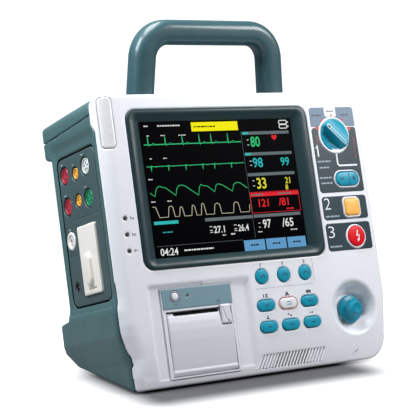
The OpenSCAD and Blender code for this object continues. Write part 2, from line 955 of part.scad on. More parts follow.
module water_trap() {
  outer = -case_w / 2 - gas_proud;
  color([0.90, 0.90, 0.88]) lean() side(outer - trap_proud, outer + 19) translate(trap_at)
    rotate(90) stadium(trap_h, trap_w);
}

// --- Right side and rear ---

module therapy_port() {
  outer = case_w / 2;
  color(dark) lean() difference() {
    union() {
      bar(outer - 24, outer, therapy_at, therapy_r);
      bar(outer, outer + 1.6, therapy_at, therapy_r + 3);
    }
    bar(outer - 18, outer + 2, therapy_at, therapy_r - 2.5);
    bar(outer - 25, outer + 2, therapy_at, 1);
  }
}

module battery(s) {
  grip_y = pod_back;
  grip_z = battery_z + floor_u - foot_h + battery_h / 2;
  color(dark) difference() {
    intersection() {
      lean() case_solid(0);
      battery_room(s, 0);
    }
    level() block(
      s > 0 ? [battery_x + 25, battery_x + battery_w - 25]
        : [-battery_x - battery_w + 25, -battery_x - 25],
      [grip_y - 5, grip_y + 10], [grip_z + 1, grip_z + 12]);
  }
}

module battery_1() { battery(-1); }
module battery_2() { battery(1); }

module mains_inlet() {
  color(black) lean() translate([inlet_at[0], 0, inlet_at[1]]) {
    difference() {
      union() {
        face(90, case_d) square([inlet_w, inlet_h], center = true);
        face(case_d, case_d + 1.5) round_rect(inlet_w + 5, inlet_h + 5, 2);
      }
      face(case_d - 14, case_d + 2) round_rect(26, 19, 3);
    }
    for (x = [-7, 0, 7])
      block([x - 1, x + 1], [case_d - 15, case_d - 3], x == 0 ? [1, 5] : [-5, -1]);
  }
}

module earth_pin() {
  color(steel) lean() {
    rod(earth_at[0], earth_at[1], earth_r, case_d - 9, case_d + 14);
    rod(earth_at[0], earth_at[1], 6.2, case_d, case_d + 3);
    rod(earth_at[0], earth_at[1], 5, case_d - 9, case_d - wall - 0.05);
  }
}

module port_cover() {
  pin_u = port[3] - 1.4;
  color(teal) lean() {
    block([port[0], port[1]], [case_d - port_t, case_d], [port[2], pin_u]);
    bar(port[0], port[1], [case_d - port_t / 2, pin_u], port_t / 2 - 0.02);
    bar(port[0] - 1.5, port[1] + 1.5, [case_d - port_t / 2, pin_u], 0.8);
    block([(port[0] + port[1]) / 2 - 8, (port[0] + port[1]) / 2 + 8],
      [case_d - 0.5, case_d + 1.2], [port[2] + 1, port[2] + 4]);
  }
}

// --- Inside ---

module main_board() {
  color(board) lean() {
    block([-84, 40], [30, 31.6], [-76, 58]);
    for (at = [[-60, 20], [-20, 30], [10, -20], [-50, -40]])
      block([at[0] - 11, at[0] + 11], [31, 35], [at[1] - 11, at[1] + 11]);
    block([-80, -30], [31, 38], [46, 54]);
  }
}

module power_board() {
  color(board) lean() {
    block([-118, 90], [84, 85.6], [4, 44]);
    block([-118, 20], [84, 85.6], [-76, 5]);
    for (x = [38, 58, 74]) block([x - 7, x + 7], [85, case_d - port_t - 1.2], [13, 27]);
    for (x = [-90, -60, -30]) rod(x, -40, 9, 62, 84.5);
    block([-20, 10], [70, 84.5], [-60, -20]);
  }
}

module hv_capacitor() {
  color([0.85, 0.85, 0.80]) lean() {
    bar(48, 110, [52, -30], 20);
    bar(109, 114, [45, -30], 3);
    bar(109, 114, [59, -30], 3);
  }
}

module hv_module() {
  color(dark) lean() {
    block([48, 110], [30, 64], [2, 56]);
    block([56, 102], [63, 72], [14, 44]);
  }
}

module nibp_pump() {
  color(steel) lean() {
    bar(-20, 30, [60, -98], 12);
    bar(29, 44, [60, -98], 8);
    bar(43, 50, [60, -98], 2.5);
  }
}

module chassis() {
  color(steel) lean() difference() {
    union() {
      block([-mid_x, mid_x], [mid_d, mid_d + sheet], [-83.5, 83.5]);
      block([-84, mid_x], [mid_d, 82], [60, 60 + sheet]);
      block([-84, mid_x], [mid_d, 82], [-83.5, -83.5 + sheet]);
    }
    for (x = [-post_x, post_x]) for (u = [-post_u, post_u]) rod(x, u, 1.7, 20, 30);
    for (x = [-60, 0, 60]) face(20, 30) translate([x, 0]) stadium(40, 16);
  }
}

module fan_frame() {
  color(black) lean() translate([fan_at[0], 0, fan_at[1]]) {
    difference() {
      face(fan_d, fan_d + fan_t) round_rect(fan_w, fan_w, 4);
      rod(0, 0, fan_gap, fan_d - 1, fan_d + fan_t + 1);
    }
    rod(0, 0, 12, fan_d + fan_t - 2.5, fan_d + fan_t);
    rod(0, 0, 1.5, fan_d + 3, fan_d + fan_t - 1);
    for (a = [45, 165, 285]) rotate([0, a, 0])
      block([10, fan_gap + 1], [fan_d + fan_t - 2.5, fan_d + fan_t], [-2, 2]);
  }
}

module fan_rotor() {
  back = fan_d + fan_t - 3.2;
  color([0.15, 0.15, 0.16]) lean() translate([fan_at[0], 0, fan_at[1]]) difference() {
    union() {
      rod(0, 0, 12, fan_d + 0.8, back);
      for (a = [0:45:315]) rotate([0, a, 0]) translate([18.5, (fan_d + back) / 2 + 0.4, 0])
        rotate([30, 0, 0]) cube([15.5, 1.4, 9.4], center = true);
    }
    rod(0, 0, 1.5 + run_gap, fan_d, back + 1);
  }
}

module feet() {
  color(black) at_feet() difference() {
    cylinder(r1 = foot_r - 0.8, r2 = foot_r, h = foot_h);
    translate([0, 0, -1]) cylinder(r = tray_r, h = foot_h + 2);
  }
}

module case_screws() {
  color(steel) lean() for (at = screw_at) difference() {
    union() {
      rod(at[0], at[1], 3.2, case_d - 2.9, case_d - 0.8);
      rod(at[0], at[1], 1.6, case_d - 12, case_d - 2);
    }
    block([at[0] - 2.2, at[0] + 2.2], [case_d - 1.8, case_d], [at[1] - 0.4, at[1] + 0.4]);
    block([at[0] - 0.4, at[0] + 0.4], [case_d - 1.8, case_d], [at[1] - 2.2, at[1] + 2.2]);
  }
}

front_housing();
rear_housing();
top_cover();
handle();
screen_bezel();
display_window();
lcd_panel();
alarm_lamp();
control_label();
mode_knob();
mode_switch();
energy_rocker();
charge_button();
shock_button();
soft_key_1();
soft_key_2();
soft_key_3();
hard_key_1();
hard_key_2();
hard_key_3();
hard_key_4();
hard_key_5();
hard_key_6();
keypad_board();
nav_knob();
nav_plunger();
nav_encoder();
speaker();
recorder_frame();
recorder_door();
recorder_latch();
paper_roll();
platen_roller();
print_head();
feed_button();
status_lamps();
side_panel();
pressure_sockets();
temperature_sockets();
oximeter_socket();
ecg_socket();
cuff_port();
gas_module();
water_trap();
therapy_port();
battery_1();
battery_2();
mains_inlet();
earth_pin();
port_cover();
main_board();
power_board();
hv_capacitor();
hv_module();
nibp_pump();
chassis();
fan_frame();
fan_rotor();
feet();
case_screws();
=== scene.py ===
"""Looks of the portable monitor and defibrillator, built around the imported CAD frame.

Sizes are millimetres in the leaning frame of the case: x to the right, d into the case from
its front plane, u up the front plane, zero at the middle of the display's height.
to_row() carries leaning points into the row frame in metres.
"""

import json
import math

import bpy
import numpy as np
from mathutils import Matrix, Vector


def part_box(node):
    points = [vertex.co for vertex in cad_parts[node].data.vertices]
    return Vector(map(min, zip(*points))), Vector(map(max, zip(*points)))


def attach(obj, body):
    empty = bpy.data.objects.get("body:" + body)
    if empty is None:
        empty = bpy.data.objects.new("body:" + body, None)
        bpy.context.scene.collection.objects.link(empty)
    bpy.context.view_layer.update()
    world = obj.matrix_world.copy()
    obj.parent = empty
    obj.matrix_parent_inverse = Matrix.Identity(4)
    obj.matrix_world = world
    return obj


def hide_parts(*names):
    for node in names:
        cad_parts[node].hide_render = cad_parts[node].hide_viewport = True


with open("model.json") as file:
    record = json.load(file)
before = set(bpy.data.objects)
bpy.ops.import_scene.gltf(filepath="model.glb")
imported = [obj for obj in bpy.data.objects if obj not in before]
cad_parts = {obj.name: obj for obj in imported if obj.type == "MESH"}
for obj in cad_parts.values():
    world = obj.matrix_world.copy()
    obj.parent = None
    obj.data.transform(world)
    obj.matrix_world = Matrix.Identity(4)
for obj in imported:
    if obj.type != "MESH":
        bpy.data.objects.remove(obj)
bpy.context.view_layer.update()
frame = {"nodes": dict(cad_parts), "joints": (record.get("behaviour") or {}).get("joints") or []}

# ---------------------------------------------------------------- leaning frame

JOINTS = {j["name"]: j for j in frame["joints"]}
INWARD = np.array(JOINTS["charge_press"]["axis"], float)
UPWARD = np.array([0.0, -INWARD[2], INWARD[1]])
ACROSS = np.array([1.0, 0.0, 0.0])
MM = 0.001
PANE_MIDDLE = 4.2  # depth of the middle of the display window behind the front plane


def middle(node):
    lo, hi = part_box(node)
    return np.array((lo + hi) / 2, float)


ORIGIN = middle("display_window") - INWARD * PANE_MIDDLE * MM
SCREEN_X = ORIGIN[0] / MM
ORIGIN[0] = 0.0


def to_row(points):
    p = np.asarray(points, float)
    basis = np.array([ACROSS, INWARD, UPWARD])
    return ORIGIN + (p @ basis) * MM


def lean_box(node):
    """Lowest and highest (x, d, u) of a CAD node in the leaning frame."""
    co = np.array([v.co for v in frame["nodes"][node].data.vertices], float) - ORIGIN
    local = np.stack([co @ ACROSS, co @ INWARD, co @ UPWARD], -1) / MM
    return local.min(0), local.max(0)


def lean_middle(node):
    lo, hi = lean_box(node)
    return (lo + hi) / 2


# ---------------------------------------------------------------- case dimensions

HALF_W = (lean_box("rear_housing")[1][0] - lean_box("rear_housing")[0][0]) / 2
TOP = 91.0
BOTTOM = -182.0
FLARE = 3.0            # extra half width of the lower case
FLARE_FROM, FLARE_TO = -96.0, -108.0
CASE_D = 109.0
HOOD_D = 122.0
WALL = 3.0
EDGE_X = HALF_W - 8.8  # the front plane ends here and the slanted edge begins
EDGE_D = 8.5
SPLIT_D = 9.0          # depth where the white front meets the teal rear
JOINT_U = 74.8         # height of the top cover's joint at the front
JOINT_SLOPE = math.tan(math.radians(2.8))
GROOVE = 0.35          # half the width of the gap between two mouldings
COARSE = 1.0


# ---------------------------------------------------------------- node materials

def srgb(r, g, b):
    """Linear colour from 0-255 display values."""
    out = []
    for v in (r, g, b):
        v = v / 255
        out.append(v / 12.92 if v <= 0.04045 else ((v + 0.055) / 1.055) ** 2.4)
    return tuple(out) + (1.0,)


def moulded(name, colour, rough=0.45, grain=0.12, grain_mm=0.8, vary=0.05, coat=0.0,
            metallic=0.0, edge_highlight=0.0, glow=0.0, shine=None):
    """A moulded surface: mottled colour, uneven roughness, fine grain and a painted highlight that lightens convex
    edges.
    """
    m = bpy.data.materials.new(name)
    m.use_nodes = True
    nodes, links = m.node_tree.nodes, m.node_tree.links
    p = nodes["Principled BSDF"]
    where = nodes.new("ShaderNodeTexCoord").outputs["Object"]

    def noise(scale, detail):
        n = nodes.new("ShaderNodeTexNoise")
        n.inputs["Scale"].default_value = scale
        n.inputs["Detail"].default_value = detail
        links.new(where, n.inputs["Vector"])
        return n.outputs["Fac"]

    def ramp(source, low, high):
        r = nodes.new("ShaderNodeMapRange")
        r.inputs["To Min"].default_value = low
        r.inputs["To Max"].default_value = high
        r.inputs["From Min"].default_value = 0.3
        r.inputs["From Max"].default_value = 0.7
        links.new(source, r.inputs["Value"])
        return r.outputs["Result"]

    cloud = noise(18, 4)
    tint = nodes.new("ShaderNodeHueSaturation")
    tint.inputs["Color"].default_value = colour
    links.new(ramp(cloud, 1 - vary, 1 + vary), tint.inputs["Value"])
    colour_out = tint.outputs["Color"]
    # convex edges (high pointiness) get a lighter colour: a painted highlight
    if edge_highlight:
        edge = nodes.new("ShaderNodeNewGeometry").outputs["Pointiness"]
        edge_highlight_amount = nodes.new("ShaderNodeMapRange")
        edge_highlight_amount.inputs["From Min"].default_value = 0.53
        edge_highlight_amount.inputs["From Max"].default_value = 0.62
        edge_highlight_amount.inputs["To Max"].default_value = edge_highlight
        links.new(edge, edge_highlight_amount.inputs["Value"])
        light = nodes.new("ShaderNodeMix")
        light.data_type = "RGBA"
        light.inputs["B"].default_value = tuple(min(1, c * 1.6 + 0.02) for c in colour[:3]) + (1,)
        links.new(edge_highlight_amount.outputs["Result"], light.inputs["Factor"])
        links.new(colour_out, light.inputs["A"])
        colour_out = light.outputs["Result"]
    links.new(colour_out, p.inputs["Base Color"])
    links.new(ramp(noise(60, 3), rough - 0.05, rough + 0.05), p.inputs["Roughness"])
    bump = nodes.new("ShaderNodeBump")
    bump.inputs["Strength"].default_value = grain
    bump.inputs["Distance"].default_value = 0.0002
    links.new(noise(1000 / grain_mm, 2), bump.inputs["Height"])
    links.new(bump.outputs["Normal"], p.inputs["Normal"])
    p.inputs["Metallic"].default_value = metallic
    p.inputs["Coat Weight"].default_value = coat
    p.inputs["Coat Roughness"].default_value = 0.08
    if glow:
        links.new(colour_out, p.inputs["Emission Color"])
        p.inputs["Emission Strength"].default_value = glow
    if shine is not None:
        p.inputs["Specular IOR Level"].default_value = shine
    return m


def lit(name, colour, strength=1.0, flicker=0.06):
    """A lit patch of the display: emission with the faint unevenness of its pixels."""
    m = bpy.data.materials.new(name)
    m.use_nodes = True
    nodes, links = m.node_tree.nodes, m.node_tree.links
    p = nodes["Principled BSDF"]
    p.inputs["Base Color"].default_value = (0.0, 0.0, 0.0, 1)
    p.inputs["Roughness"].default_value = 0.5
    p.inputs["Specular IOR Level"].default_value = 0.01
    where = nodes.new("ShaderNodeTexCoord").outputs["Object"]
    n = nodes.new("ShaderNodeTexNoise")
    n.inputs["Scale"].default_value = 400
    links.new(where, n.inputs["Vector"])
    r = nodes.new("ShaderNodeMapRange")
    r.inputs["To Min"].default_value = strength * (1 - flicker)
    r.inputs["To Max"].default_value = strength * (1 + flicker)
    links.new(n.outputs["Fac"], r.inputs["Value"])
    p.inputs["Emission Color"].default_value = colour
    links.new(r.outputs["Result"], p.inputs["Emission Strength"])
    return m


WHITE = moulded("white_moulding", srgb(232, 234, 240), 0.36, 0.10, 0.9, 0.015, coat=0.12, edge_highlight=0.25)
TEAL = moulded("teal_moulding", srgb(68, 99, 102), 0.42, 0.22, 0.9, 0.06, edge_highlight=0.35)
TEAL_SOFT = moulded("handle_moulding", srgb(46, 80, 88), 0.38, 0.30, 0.7, 0.05, coat=0.3, edge_highlight=0.2)
BEZEL = moulded("bezel_moulding", srgb(28, 52, 57), 0.36, 0.08, 0.7, 0.05, coat=0.05, edge_highlight=0.4, shine=0.3)
LABEL = moulded("label_film", srgb(36, 56, 65), 0.38, 0.10, 0.5, 0.04, shine=0.3)
BAND = moulded("label_band", srgb(108, 128, 150), 0.38, 0.08, 0.5, 0.03, shine=0.25)
PANEL = moulded("side_panel_moulding", srgb(60, 82, 86), 0.5, 0.25, 0.8, 0.06, edge_highlight=0.3)
PRINT = moulded("print_white", srgb(232, 236, 240), 0.5, 0.05, 0.5, 0.02)
PRINT_DIM = moulded("print_grey", srgb(150, 166, 176), 0.5, 0.05, 0.5, 0.02)
PRINT_DARK = moulded("print_dark", srgb(70, 74, 86), 0.5, 0.05, 0.5, 0.05)
PRINT_RED = moulded("print_red", srgb(205, 50, 60), 0.5, 0.05, 0.5, 0.03)
PRINT_ORANGE = moulded("print_orange", srgb(206, 122, 74), 0.5, 0.05, 0.5, 0.03)
CYAN = moulded("key_silicone", srgb(4, 146, 174), 0.4, 0.12, 0.6, 0.05, coat=0.1, edge_highlight=0.2, shine=0.25)
CYAN_DARK = moulded("key_mark", srgb(8, 66, 96), 0.45, 0.05, 0.5, 0.04)
ORANGE = moulded("charge_silicone", srgb(252, 182, 78), 0.42, 0.1, 0.6, 0.03, coat=0.1)
RED = moulded("shock_silicone", srgb(222, 12, 26), 0.38, 0.08, 0.6, 0.03, coat=0.08, shine=0.2)
PINK = moulded("pause_outline", srgb(222, 160, 160), 0.5, 0.05, 0.5, 0.02)
GREY_STRIP = moulded("recorder_strip", srgb(118, 150, 162), 0.38, 0.1, 0.6, 0.03)
BLACK = moulded("black_moulding", srgb(22, 24, 27), 0.5, 0.2, 0.7, 0.1)
DARK = moulded("dark_moulding", srgb(38, 44, 50), 0.5, 0.25, 0.7, 0.08, edge_highlight=0.3)
RUBBER = moulded("black_rubber", srgb(26, 26, 28), 0.8, 0.35, 0.6, 0.1)
GLASS = moulded("display_glass", srgb(3, 3, 5), 0.4, 0.01, 2.0, 0.1, shine=0.01)
FROST = moulded("lamp_lens", srgb(222, 222, 226), 0.3, 0.2, 1.2, 0.03, coat=0.5)
CREAM = moulded("cream_moulding", srgb(234, 230, 224), 0.42, 0.12, 0.8, 0.02, edge_highlight=0.2)
STEEL = moulded("brushed_steel", srgb(176, 178, 182), 0.3, 0.3, 0.5, 0.06, metallic=1.0)
BOARD = moulded("circuit_board", srgb(20, 92, 52), 0.35, 0.3, 1.5, 0.12, coat=0.3)
PAPER = moulded("thermal_paper", srgb(240, 240, 236), 0.7, 0.15, 0.5, 0.02)
SOCKET_RED = moulded("socket_red", srgb(176, 44, 60), 0.42, 0.12, 0.6, 0.06, coat=0.1)
SOCKET_YELLOW = moulded("socket_yellow", srgb(244, 176, 58), 0.42, 0.12, 0.6, 0.05, coat=0.1)
SOCKET_WHITE = moulded("socket_white", srgb(212, 218, 218), 0.42, 0.12, 0.6, 0.03, coat=0.1)
SOCKET_GREEN = moulded("socket_green", srgb(26, 142, 96), 0.42, 0.12, 0.6, 0.05, coat=0.1)
SOCKET_CREAM = moulded("port_white", srgb(228, 228, 228), 0.4, 0.1, 0.6, 0.02, coat=0.15)
KNOB_TOP = moulded("knob_insert", srgb(150, 196, 210), 0.35, 0.1, 0.6, 0.06, coat=0.2)
KEY_WHITE = moulded("white_silicone", srgb(226, 226, 230), 0.42, 0.1, 0.6, 0.02, coat=0.1)
NAV_CYAN = moulded("nav_silicone", srgb(0, 136, 164), 0.36, 0.12, 0.6, 0.05, coat=0.2, edge_highlight=0.25, shine=0.3)
DOOR_WHITE = moulded("door_white", srgb(220, 220, 229), 0.4, 0.1, 0.9, 0.015, coat=0.1, edge_highlight=0.2)
KNOB_MARK = moulded("knob_mark", srgb(10, 30, 66), 0.45, 0.05, 0.5, 0.04)
# white darkened to stand for shade: painted shade, used behind the grille's outer slots
SHADED_WHITE = moulded("bay_white", srgb(196, 200, 210), 0.4, 0.1, 0.9, 0.015, coat=0.1, edge_highlight=0.2)
RING_GREY = moulded("button_ring", srgb(150, 146, 168), 0.45, 0.08, 0.6, 0.03)

LIT_GREEN = lit("lit_green", srgb(60, 205, 130), 0.9)
LIT_TEAL = lit("lit_teal", srgb(50, 190, 190), 0.9)
LIT_YELLOW = lit("lit_yellow", srgb(226, 222, 60), 0.95)
LIT_RED = lit("lit_red", srgb(225, 40, 50), 1.0)
LIT_GREY = lit("lit_grey", srgb(110, 122, 126), 0.8)
LIT_BLUE = lit("lit_blue", srgb(100, 160, 205), 0.9)
LIT_ALARM = lit("lit_alarm", srgb(250, 240, 20), 0.95)
LIT_INK = lit("lit_ink", srgb(20, 24, 10), 0.3)
LIT_CREAM = lit("lit_cream", srgb(225, 222, 190), 0.85)
LIT_PALE = lit("lit_pale", srgb(226, 232, 228), 0.95)


# ---------------------------------------------------------------- mesh helpers

def new_piece(name, verts, faces, material, body="case", smooth=True, row=False):
    """A mesh piece from leaning points, riding on a body."""
    mesh = bpy.data.meshes.new(name)
    pts = np.asarray(verts, float) if row else to_row(verts)
    mesh.from_pydata([tuple(p) for p in pts], [], faces)
    mesh.update()
    mesh.materials.append(material)
    if smooth:
        mesh.polygons.foreach_set("use_smooth", [True] * len(mesh.polygons))
    o = bpy.data.objects.new(name, mesh)
    bpy.context.scene.collection.objects.link(o)
    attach(o, body)
    return o


def rounded_loop(w, h, r, steps=8):
    """Points (x, u) anticlockwise round a rectangle with round corners, centred on zero."""
    r = max(0.02, min(r, w / 2 - 0.01, h / 2 - 0.01))
    pts = []
    for cx, cy, a0 in ((1, 1, 0), (-1, 1, 90), (-1, -1, 180), (1, -1, 270)):
        for i in range(steps + 1):
            a = math.radians(a0 + 90 * i / steps)
            pts.append((cx * (w / 2 - r) + r * math.cos(a), cy * (h / 2 - r) + r * math.sin(a)))
    return np.array(pts)


def circle_loop(r, n=48):
    a = np.linspace(0, 2 * math.pi, n, endpoint=False)
    return np.stack([r * np.cos(a), r * np.sin(a)], -1)


def loft(loops, close_first=True, close_last=True, crown=0.0):
    """Quads between rings of equal count. Each loop is (points (x, u), depth). Ends are capped with
    shrinking rings, so that a cap can be crowned."""
    rings = [np.column_stack([p[:, 0], np.full(len(p), d), p[:, 1]]) for p, d in loops]
    n = len(rings[0])

    def cap(ring, bulge):
        centre = ring.mean(0)
        extra = []
        for k in (0.72, 0.4, 0.12):
            inner = centre + (ring - centre) * k
            inner[:, 1] -= bulge * (1 - k * k)
            extra.append(inner)
        return extra

    if close_last:
        rings = rings + cap(rings[-1], crown)
    if close_first:
        rings = cap(rings[0], 0)[::-1] + rings
    verts = np.concatenate(rings)
    faces = []
    for i in range(len(rings) - 1):
        for j in range(n):
            k = (j + 1) % n
            faces.append((i * n + j, i * n + k, (i + 1) * n + k, (i + 1) * n + j))
    if close_first:
        faces.append(tuple(range(n))[::-1])
    if close_last:
        base = (len(rings) - 1) * n
        faces.append(tuple(range(base, base + n)))
    return verts, faces


def turn(verts, frame_axes, at):
    """Moves points drawn as (x, d, u) into other axes: rows of frame_axes are the new x, d and u."""
    return np.asarray(at, float) + np.asarray(verts, float) @ np.asarray(frame_axes, float)


FRONT_AXES = np.eye(3)
LEFT_AXES = np.array([[0, 1, 0], [1, 0, 0], [0, 0, 1]], float)     # drawn d points to the right
RIGHT_AXES = np.array([[0, 1, 0], [-1, 0, 0], [0, 0, 1]], float)   # drawn d points to the left
REAR_AXES = np.array([[-1, 0, 0], [0, -1, 0], [0, 0, 1]], float)


def cap_piece(name, loop_at, levels, at, material, body="case", axes=FRONT_AXES, crown=0.0,
              closed=True):
    """A button-like piece: loop_at(inset) gives the outline, levels are (inset, depth) from the
    back to the front face."""
    verts, faces = loft([(loop_at(i), d) for i, d in levels], closed, closed, crown)
    if np.linalg.det(axes) < 0:
        faces = [f[::-1] for f in faces]
    return new_piece(name, turn(verts, axes, at), flip_faces(faces), material, body)


def flip_faces(faces):
    return [tuple(f)[::-1] for f in faces]


def rounded_edge(front, back, radius, inset=0.0, steps=4):
    """Levels (inset, depth) from the back face over a rounded front edge."""
    levels = [(inset, back)]
    for i in range(steps + 1):
        a = math.pi / 2 * i / steps
        levels.append((inset + radius * (1 - math.cos(a)), front + radius * (1 - math.sin(a))))
    return levels


def ring_piece(name, outer, inner, levels, at, material, body="case", axes=FRONT_AXES):
    """A closed frame between two outlines. levels are (share from outer to inner, depth), in order
    round the section; the last joins the first."""
    rings = []
    for share, depth in levels:
        p = outer * (1 - share) + inner * share
        rings.append(np.column_stack([p[:, 0], np.full(len(p), depth), p[:, 1]]))
    n, m = len(outer), len(rings)
    faces = []
    for i in range(m):
        for j in range(n):
            k, l = (j + 1) % n, (i + 1) % m
            faces.append((i * n + j, i * n + k, l * n + k, l * n + j))
    if np.linalg.det(axes) < 0:
        faces = flip_faces(faces)
    verts = turn(np.concatenate(rings), axes, at)
    return new_piece(name, verts, flip_faces(faces), material, body)


# ---------------------------------------------------------------- fields

def polygon_field(px, py, points):
    """Signed distance to a closed outline, negative inside."""
    px, py = np.broadcast_arrays(px, py)
    best = np.full(px.shape, 1e9)
    inside = np.zeros(px.shape, bool)
    count = len(points)
    for i in range(count):
        ax, ay = points[i]
        bx, by = points[(i + 1) % count]
        ex, ey = bx - ax, by - ay
        wx, wy = px - ax, py - ay
        t = np.clip((wx * ex + wy * ey) / (ex * ex + ey * ey), 0, 1)
        best = np.minimum(best, np.hypot(wx - t * ex, wy - t * ey))
        crosses = (ay > py) != (by > py)
        with np.errstate(divide="ignore", invalid="ignore"):
            at = ax + (py - ay) * ex / (ey if ey else 1e-9)
        inside ^= crosses & (px < at)
    return np.where(inside, -best, best)


def shrink(points, r):
    """The outline moved inwards by r, corner by corner (anticlockwise points)."""
    pts = np.array(points, float)
    out = []
    for i in range(len(pts)):
        a, b, c = pts[i - 1], pts[i], pts[(i + 1) % len(pts)]
        n1 = np.array([-(b - a)[1], (b - a)[0]]) / np.linalg.norm(b - a)
        n2 = np.array([-(c - b)[1], (c - b)[0]]) / np.linalg.norm(c - b)
        m = np.array([n1, n2])
        out.append(np.linalg.solve(m, [n1 @ b + r, n2 @ b + r]) if abs(np.linalg.det(m)) > 1e-3
                   else b + n1 * r)
    return out


def rounded_polygon(px, py, points, r):
    return polygon_field(px, py, shrink(points, r)) - r


def box_field(px, py, cx, cy, w, h, r):
    qx = np.abs(px - cx) - (w / 2 - r)
    qy = np.abs(py - cy) - (h / 2 - r)
    return np.hypot(np.maximum(qx, 0), np.maximum(qy, 0)) + np.minimum(np.maximum(qx, qy), 0) - r


def meet(a, b, r):
    """Intersection whose new edge has radius r."""
    return np.minimum(np.maximum(a, b), -r) + np.hypot(np.maximum(a + r, 0), np.maximum(b + r, 0))


def join(a, b, r):
    return -meet(-a, -b, r)


def cut(a, b, r=0.0):
    """a without b."""
    return meet(a, -b, r) if r else np.maximum(a, -b)


def smooth_step(v, low, high):
    t = np.clip((v - low) / (high - low), 0, 1)
    return t * t * (3 - 2 * t)


def grid_axis(low, high, step):
    count = max(2, int(round((high - low) / step)) + 1)
    return np.linspace(low, high, count)


def field_mesh(field, xs, ds, us):
    """Closed quad mesh of the surface where the field is zero (surface nets)."""
    f = np.pad(field, 1, constant_values=5.0)
    axes = [np.concatenate([[a[0] - (a[1] - a[0])], a, [a[-1] + (a[-1] - a[-2])]])
            for a in (xs, ds, us)]
    inside = f < 0
    cells = tuple(s - 1 for s in f.shape)
    total = np.zeros((cells[0] * cells[1] * cells[2], 3))
    count = np.zeros(cells[0] * cells[1] * cells[2])
    quads = []
    strides = (cells[1] * cells[2], cells[2], 1)
    for axis in range(3):
        low = [slice(None)] * 3
        high = [slice(None)] * 3
        low[axis], high[axis] = slice(0, -1), slice(1, None)
        a, b = f[tuple(low)], f[tuple(high)]
        idx = np.argwhere(inside[tuple(low)] != inside[tuple(high)])
        fa, fb = a[tuple(idx.T)], b[tuple(idx.T)]
        t = fa / (fa - fb)
        pos = np.stack([axes[k][idx[:, k]] for k in range(3)], -1)
        step = axes[axis][idx[:, axis] + 1] - axes[axis][idx[:, axis]]
        pos[:, axis] += t * step
        o1, o2 = [k for k in range(3) if k != axis]
        around = []
        for s1, s2 in ((0, 0), (1, 0), (1, 1), (0, 1)):
            cell = idx.copy()
            cell[:, o1] -= s1
            cell[:, o2] -= s2
            flat = cell @ np.array(strides)
            around.append(flat)
            count += np.bincount(flat, minlength=len(count))
            for k in range(3):
                total[:, k] += np.bincount(flat, pos[:, k], minlength=len(count))
        quad = np.stack(around, -1)
        outward = inside[tuple(low)][tuple(idx.T)]
        if axis == 1:
            outward = ~outward
        quad[~outward] = quad[~outward][:, ::-1]
        quads.append(quad)
    used = np.flatnonzero(count)
    remap = np.zeros(len(count), np.int64)
    remap[used] = np.arange(len(used))
    verts = total[used] / count[used][:, None]
    return verts, remap[np.concatenate(quads)]


def field_piece(name, field, xs, ds, us, material, body="case", keep=None, hidden=None):
    """A piece from a field. hidden(verts) marks points that may be thinned down."""
    verts, quads = field_mesh(field, xs, ds, us)
    mesh = bpy.data.meshes.new(name)
    mesh.vertices.add(len(verts))
    mesh.vertices.foreach_set("co", to_row(verts).ravel())
    mesh.loops.add(quads.size)
    mesh.loops.foreach_set("vertex_index", quads.ravel())
    mesh.polygons.add(len(quads))
    mesh.polygons.foreach_set("loop_start", np.arange(0, quads.size, 4))
    mesh.polygons.foreach_set("loop_total", np.full(len(quads), 4))
    mesh.polygons.foreach_set("use_smooth", np.ones(len(quads), bool))
    mesh.update(calc_edges=True)
    mesh.validate()
    mesh.materials.append(material)
    o = bpy.data.objects.new(name, mesh)
    bpy.context.scene.collection.objects.link(o)
    if hidden is not None:
        thin_hidden(o, verts, hidden, keep)
    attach(o, body)
    return o


def thin_hidden(o, verts, hidden, keep):
    """Thins the faces that nobody sees, leaving the shown ones alone."""
    marked = np.flatnonzero(hidden(verts))
    group = o.vertex_groups.new(name="hidden")
    group.add([int(i) for i in marked], 1.0, "REPLACE")
    thin = o.modifiers.new("thin", "DECIMATE")
    thin.ratio = keep
    thin.vertex_group = "hidden"
    thin.vertex_group_factor = 10
    bpy.context.view_layer.objects.active = o
    with bpy.context.temp_override(object=o, active_object=o, selected_objects=[o]):
        bpy.ops.object.modifier_apply(modifier="thin")


# ---------------------------------------------------------------- the case as a field

def leaning(y, z):
    """Leaning (d, u) of a level point behind the display."""
    c, s = INWARD[1], -INWARD[2]
    return (y * c - z * s, y * s + z * c)


FLOOR_U = -174.5
WAIST_U, FOOT_U = -130, -156
FOOT_W = HALF_W - 3.2
LEFT_HALF = [(HALF_W - 5.4, BOTTOM), (FOOT_W, FOOT_U), (HALF_W + FLARE, WAIST_U),
             (HALF_W + FLARE, FLARE_TO), (HALF_W, FLARE_FROM), (HALF_W, TOP)]
RIGHT_HALF = [(HALF_W - 7.5, BOTTOM), (HALF_W - 6.2, FOOT_U), (HALF_W, -114), (HALF_W, TOP)]
OUTLINE = RIGHT_HALF + [(-x, u) for x, u in LEFT_HALF[::-1]]
RIGHT_LIP = 1.3     # the front moulding stands out this far on its right side
PROFILE = [(0, TOP), (HOOD_D, TOP - 5.8), (HOOD_D, 52.5), (CASE_D, 49), leaning(78, -131),
           leaning(98, -139.5), leaning(101, -142), leaning(101, -159), leaning(66, FLOOR_U),
           (8.5, -181.4), (0, -182.4)][::-1]
CORNER_R = 12.0
FOOT_LEFT_R, FOOT_RIGHT_R = 3.0, 24.0   # the two lower corners differ
PROFILE_R = 4.0


def half_width(u):
    """Half width on the left side, where the front has a slanted edge."""
    w = HALF_W
    return np.interp(u, [BOTTOM, FOOT_U, WAIST_U, FLARE_TO, FLARE_FROM, TOP],
                     [w - 5.4, FOOT_W, w + FLARE, w + FLARE, w, w])


def edge_start(u):
    """Distance from the middle to the slanted left edge; it draws in towards the lower corner."""
    return np.interp(u, [BOTTOM, -168, -152, -121, TOP],
                     [EDGE_X - 7.7, EDGE_X - 6.3, EDGE_X - 8.7, EDGE_X, EDGE_X])


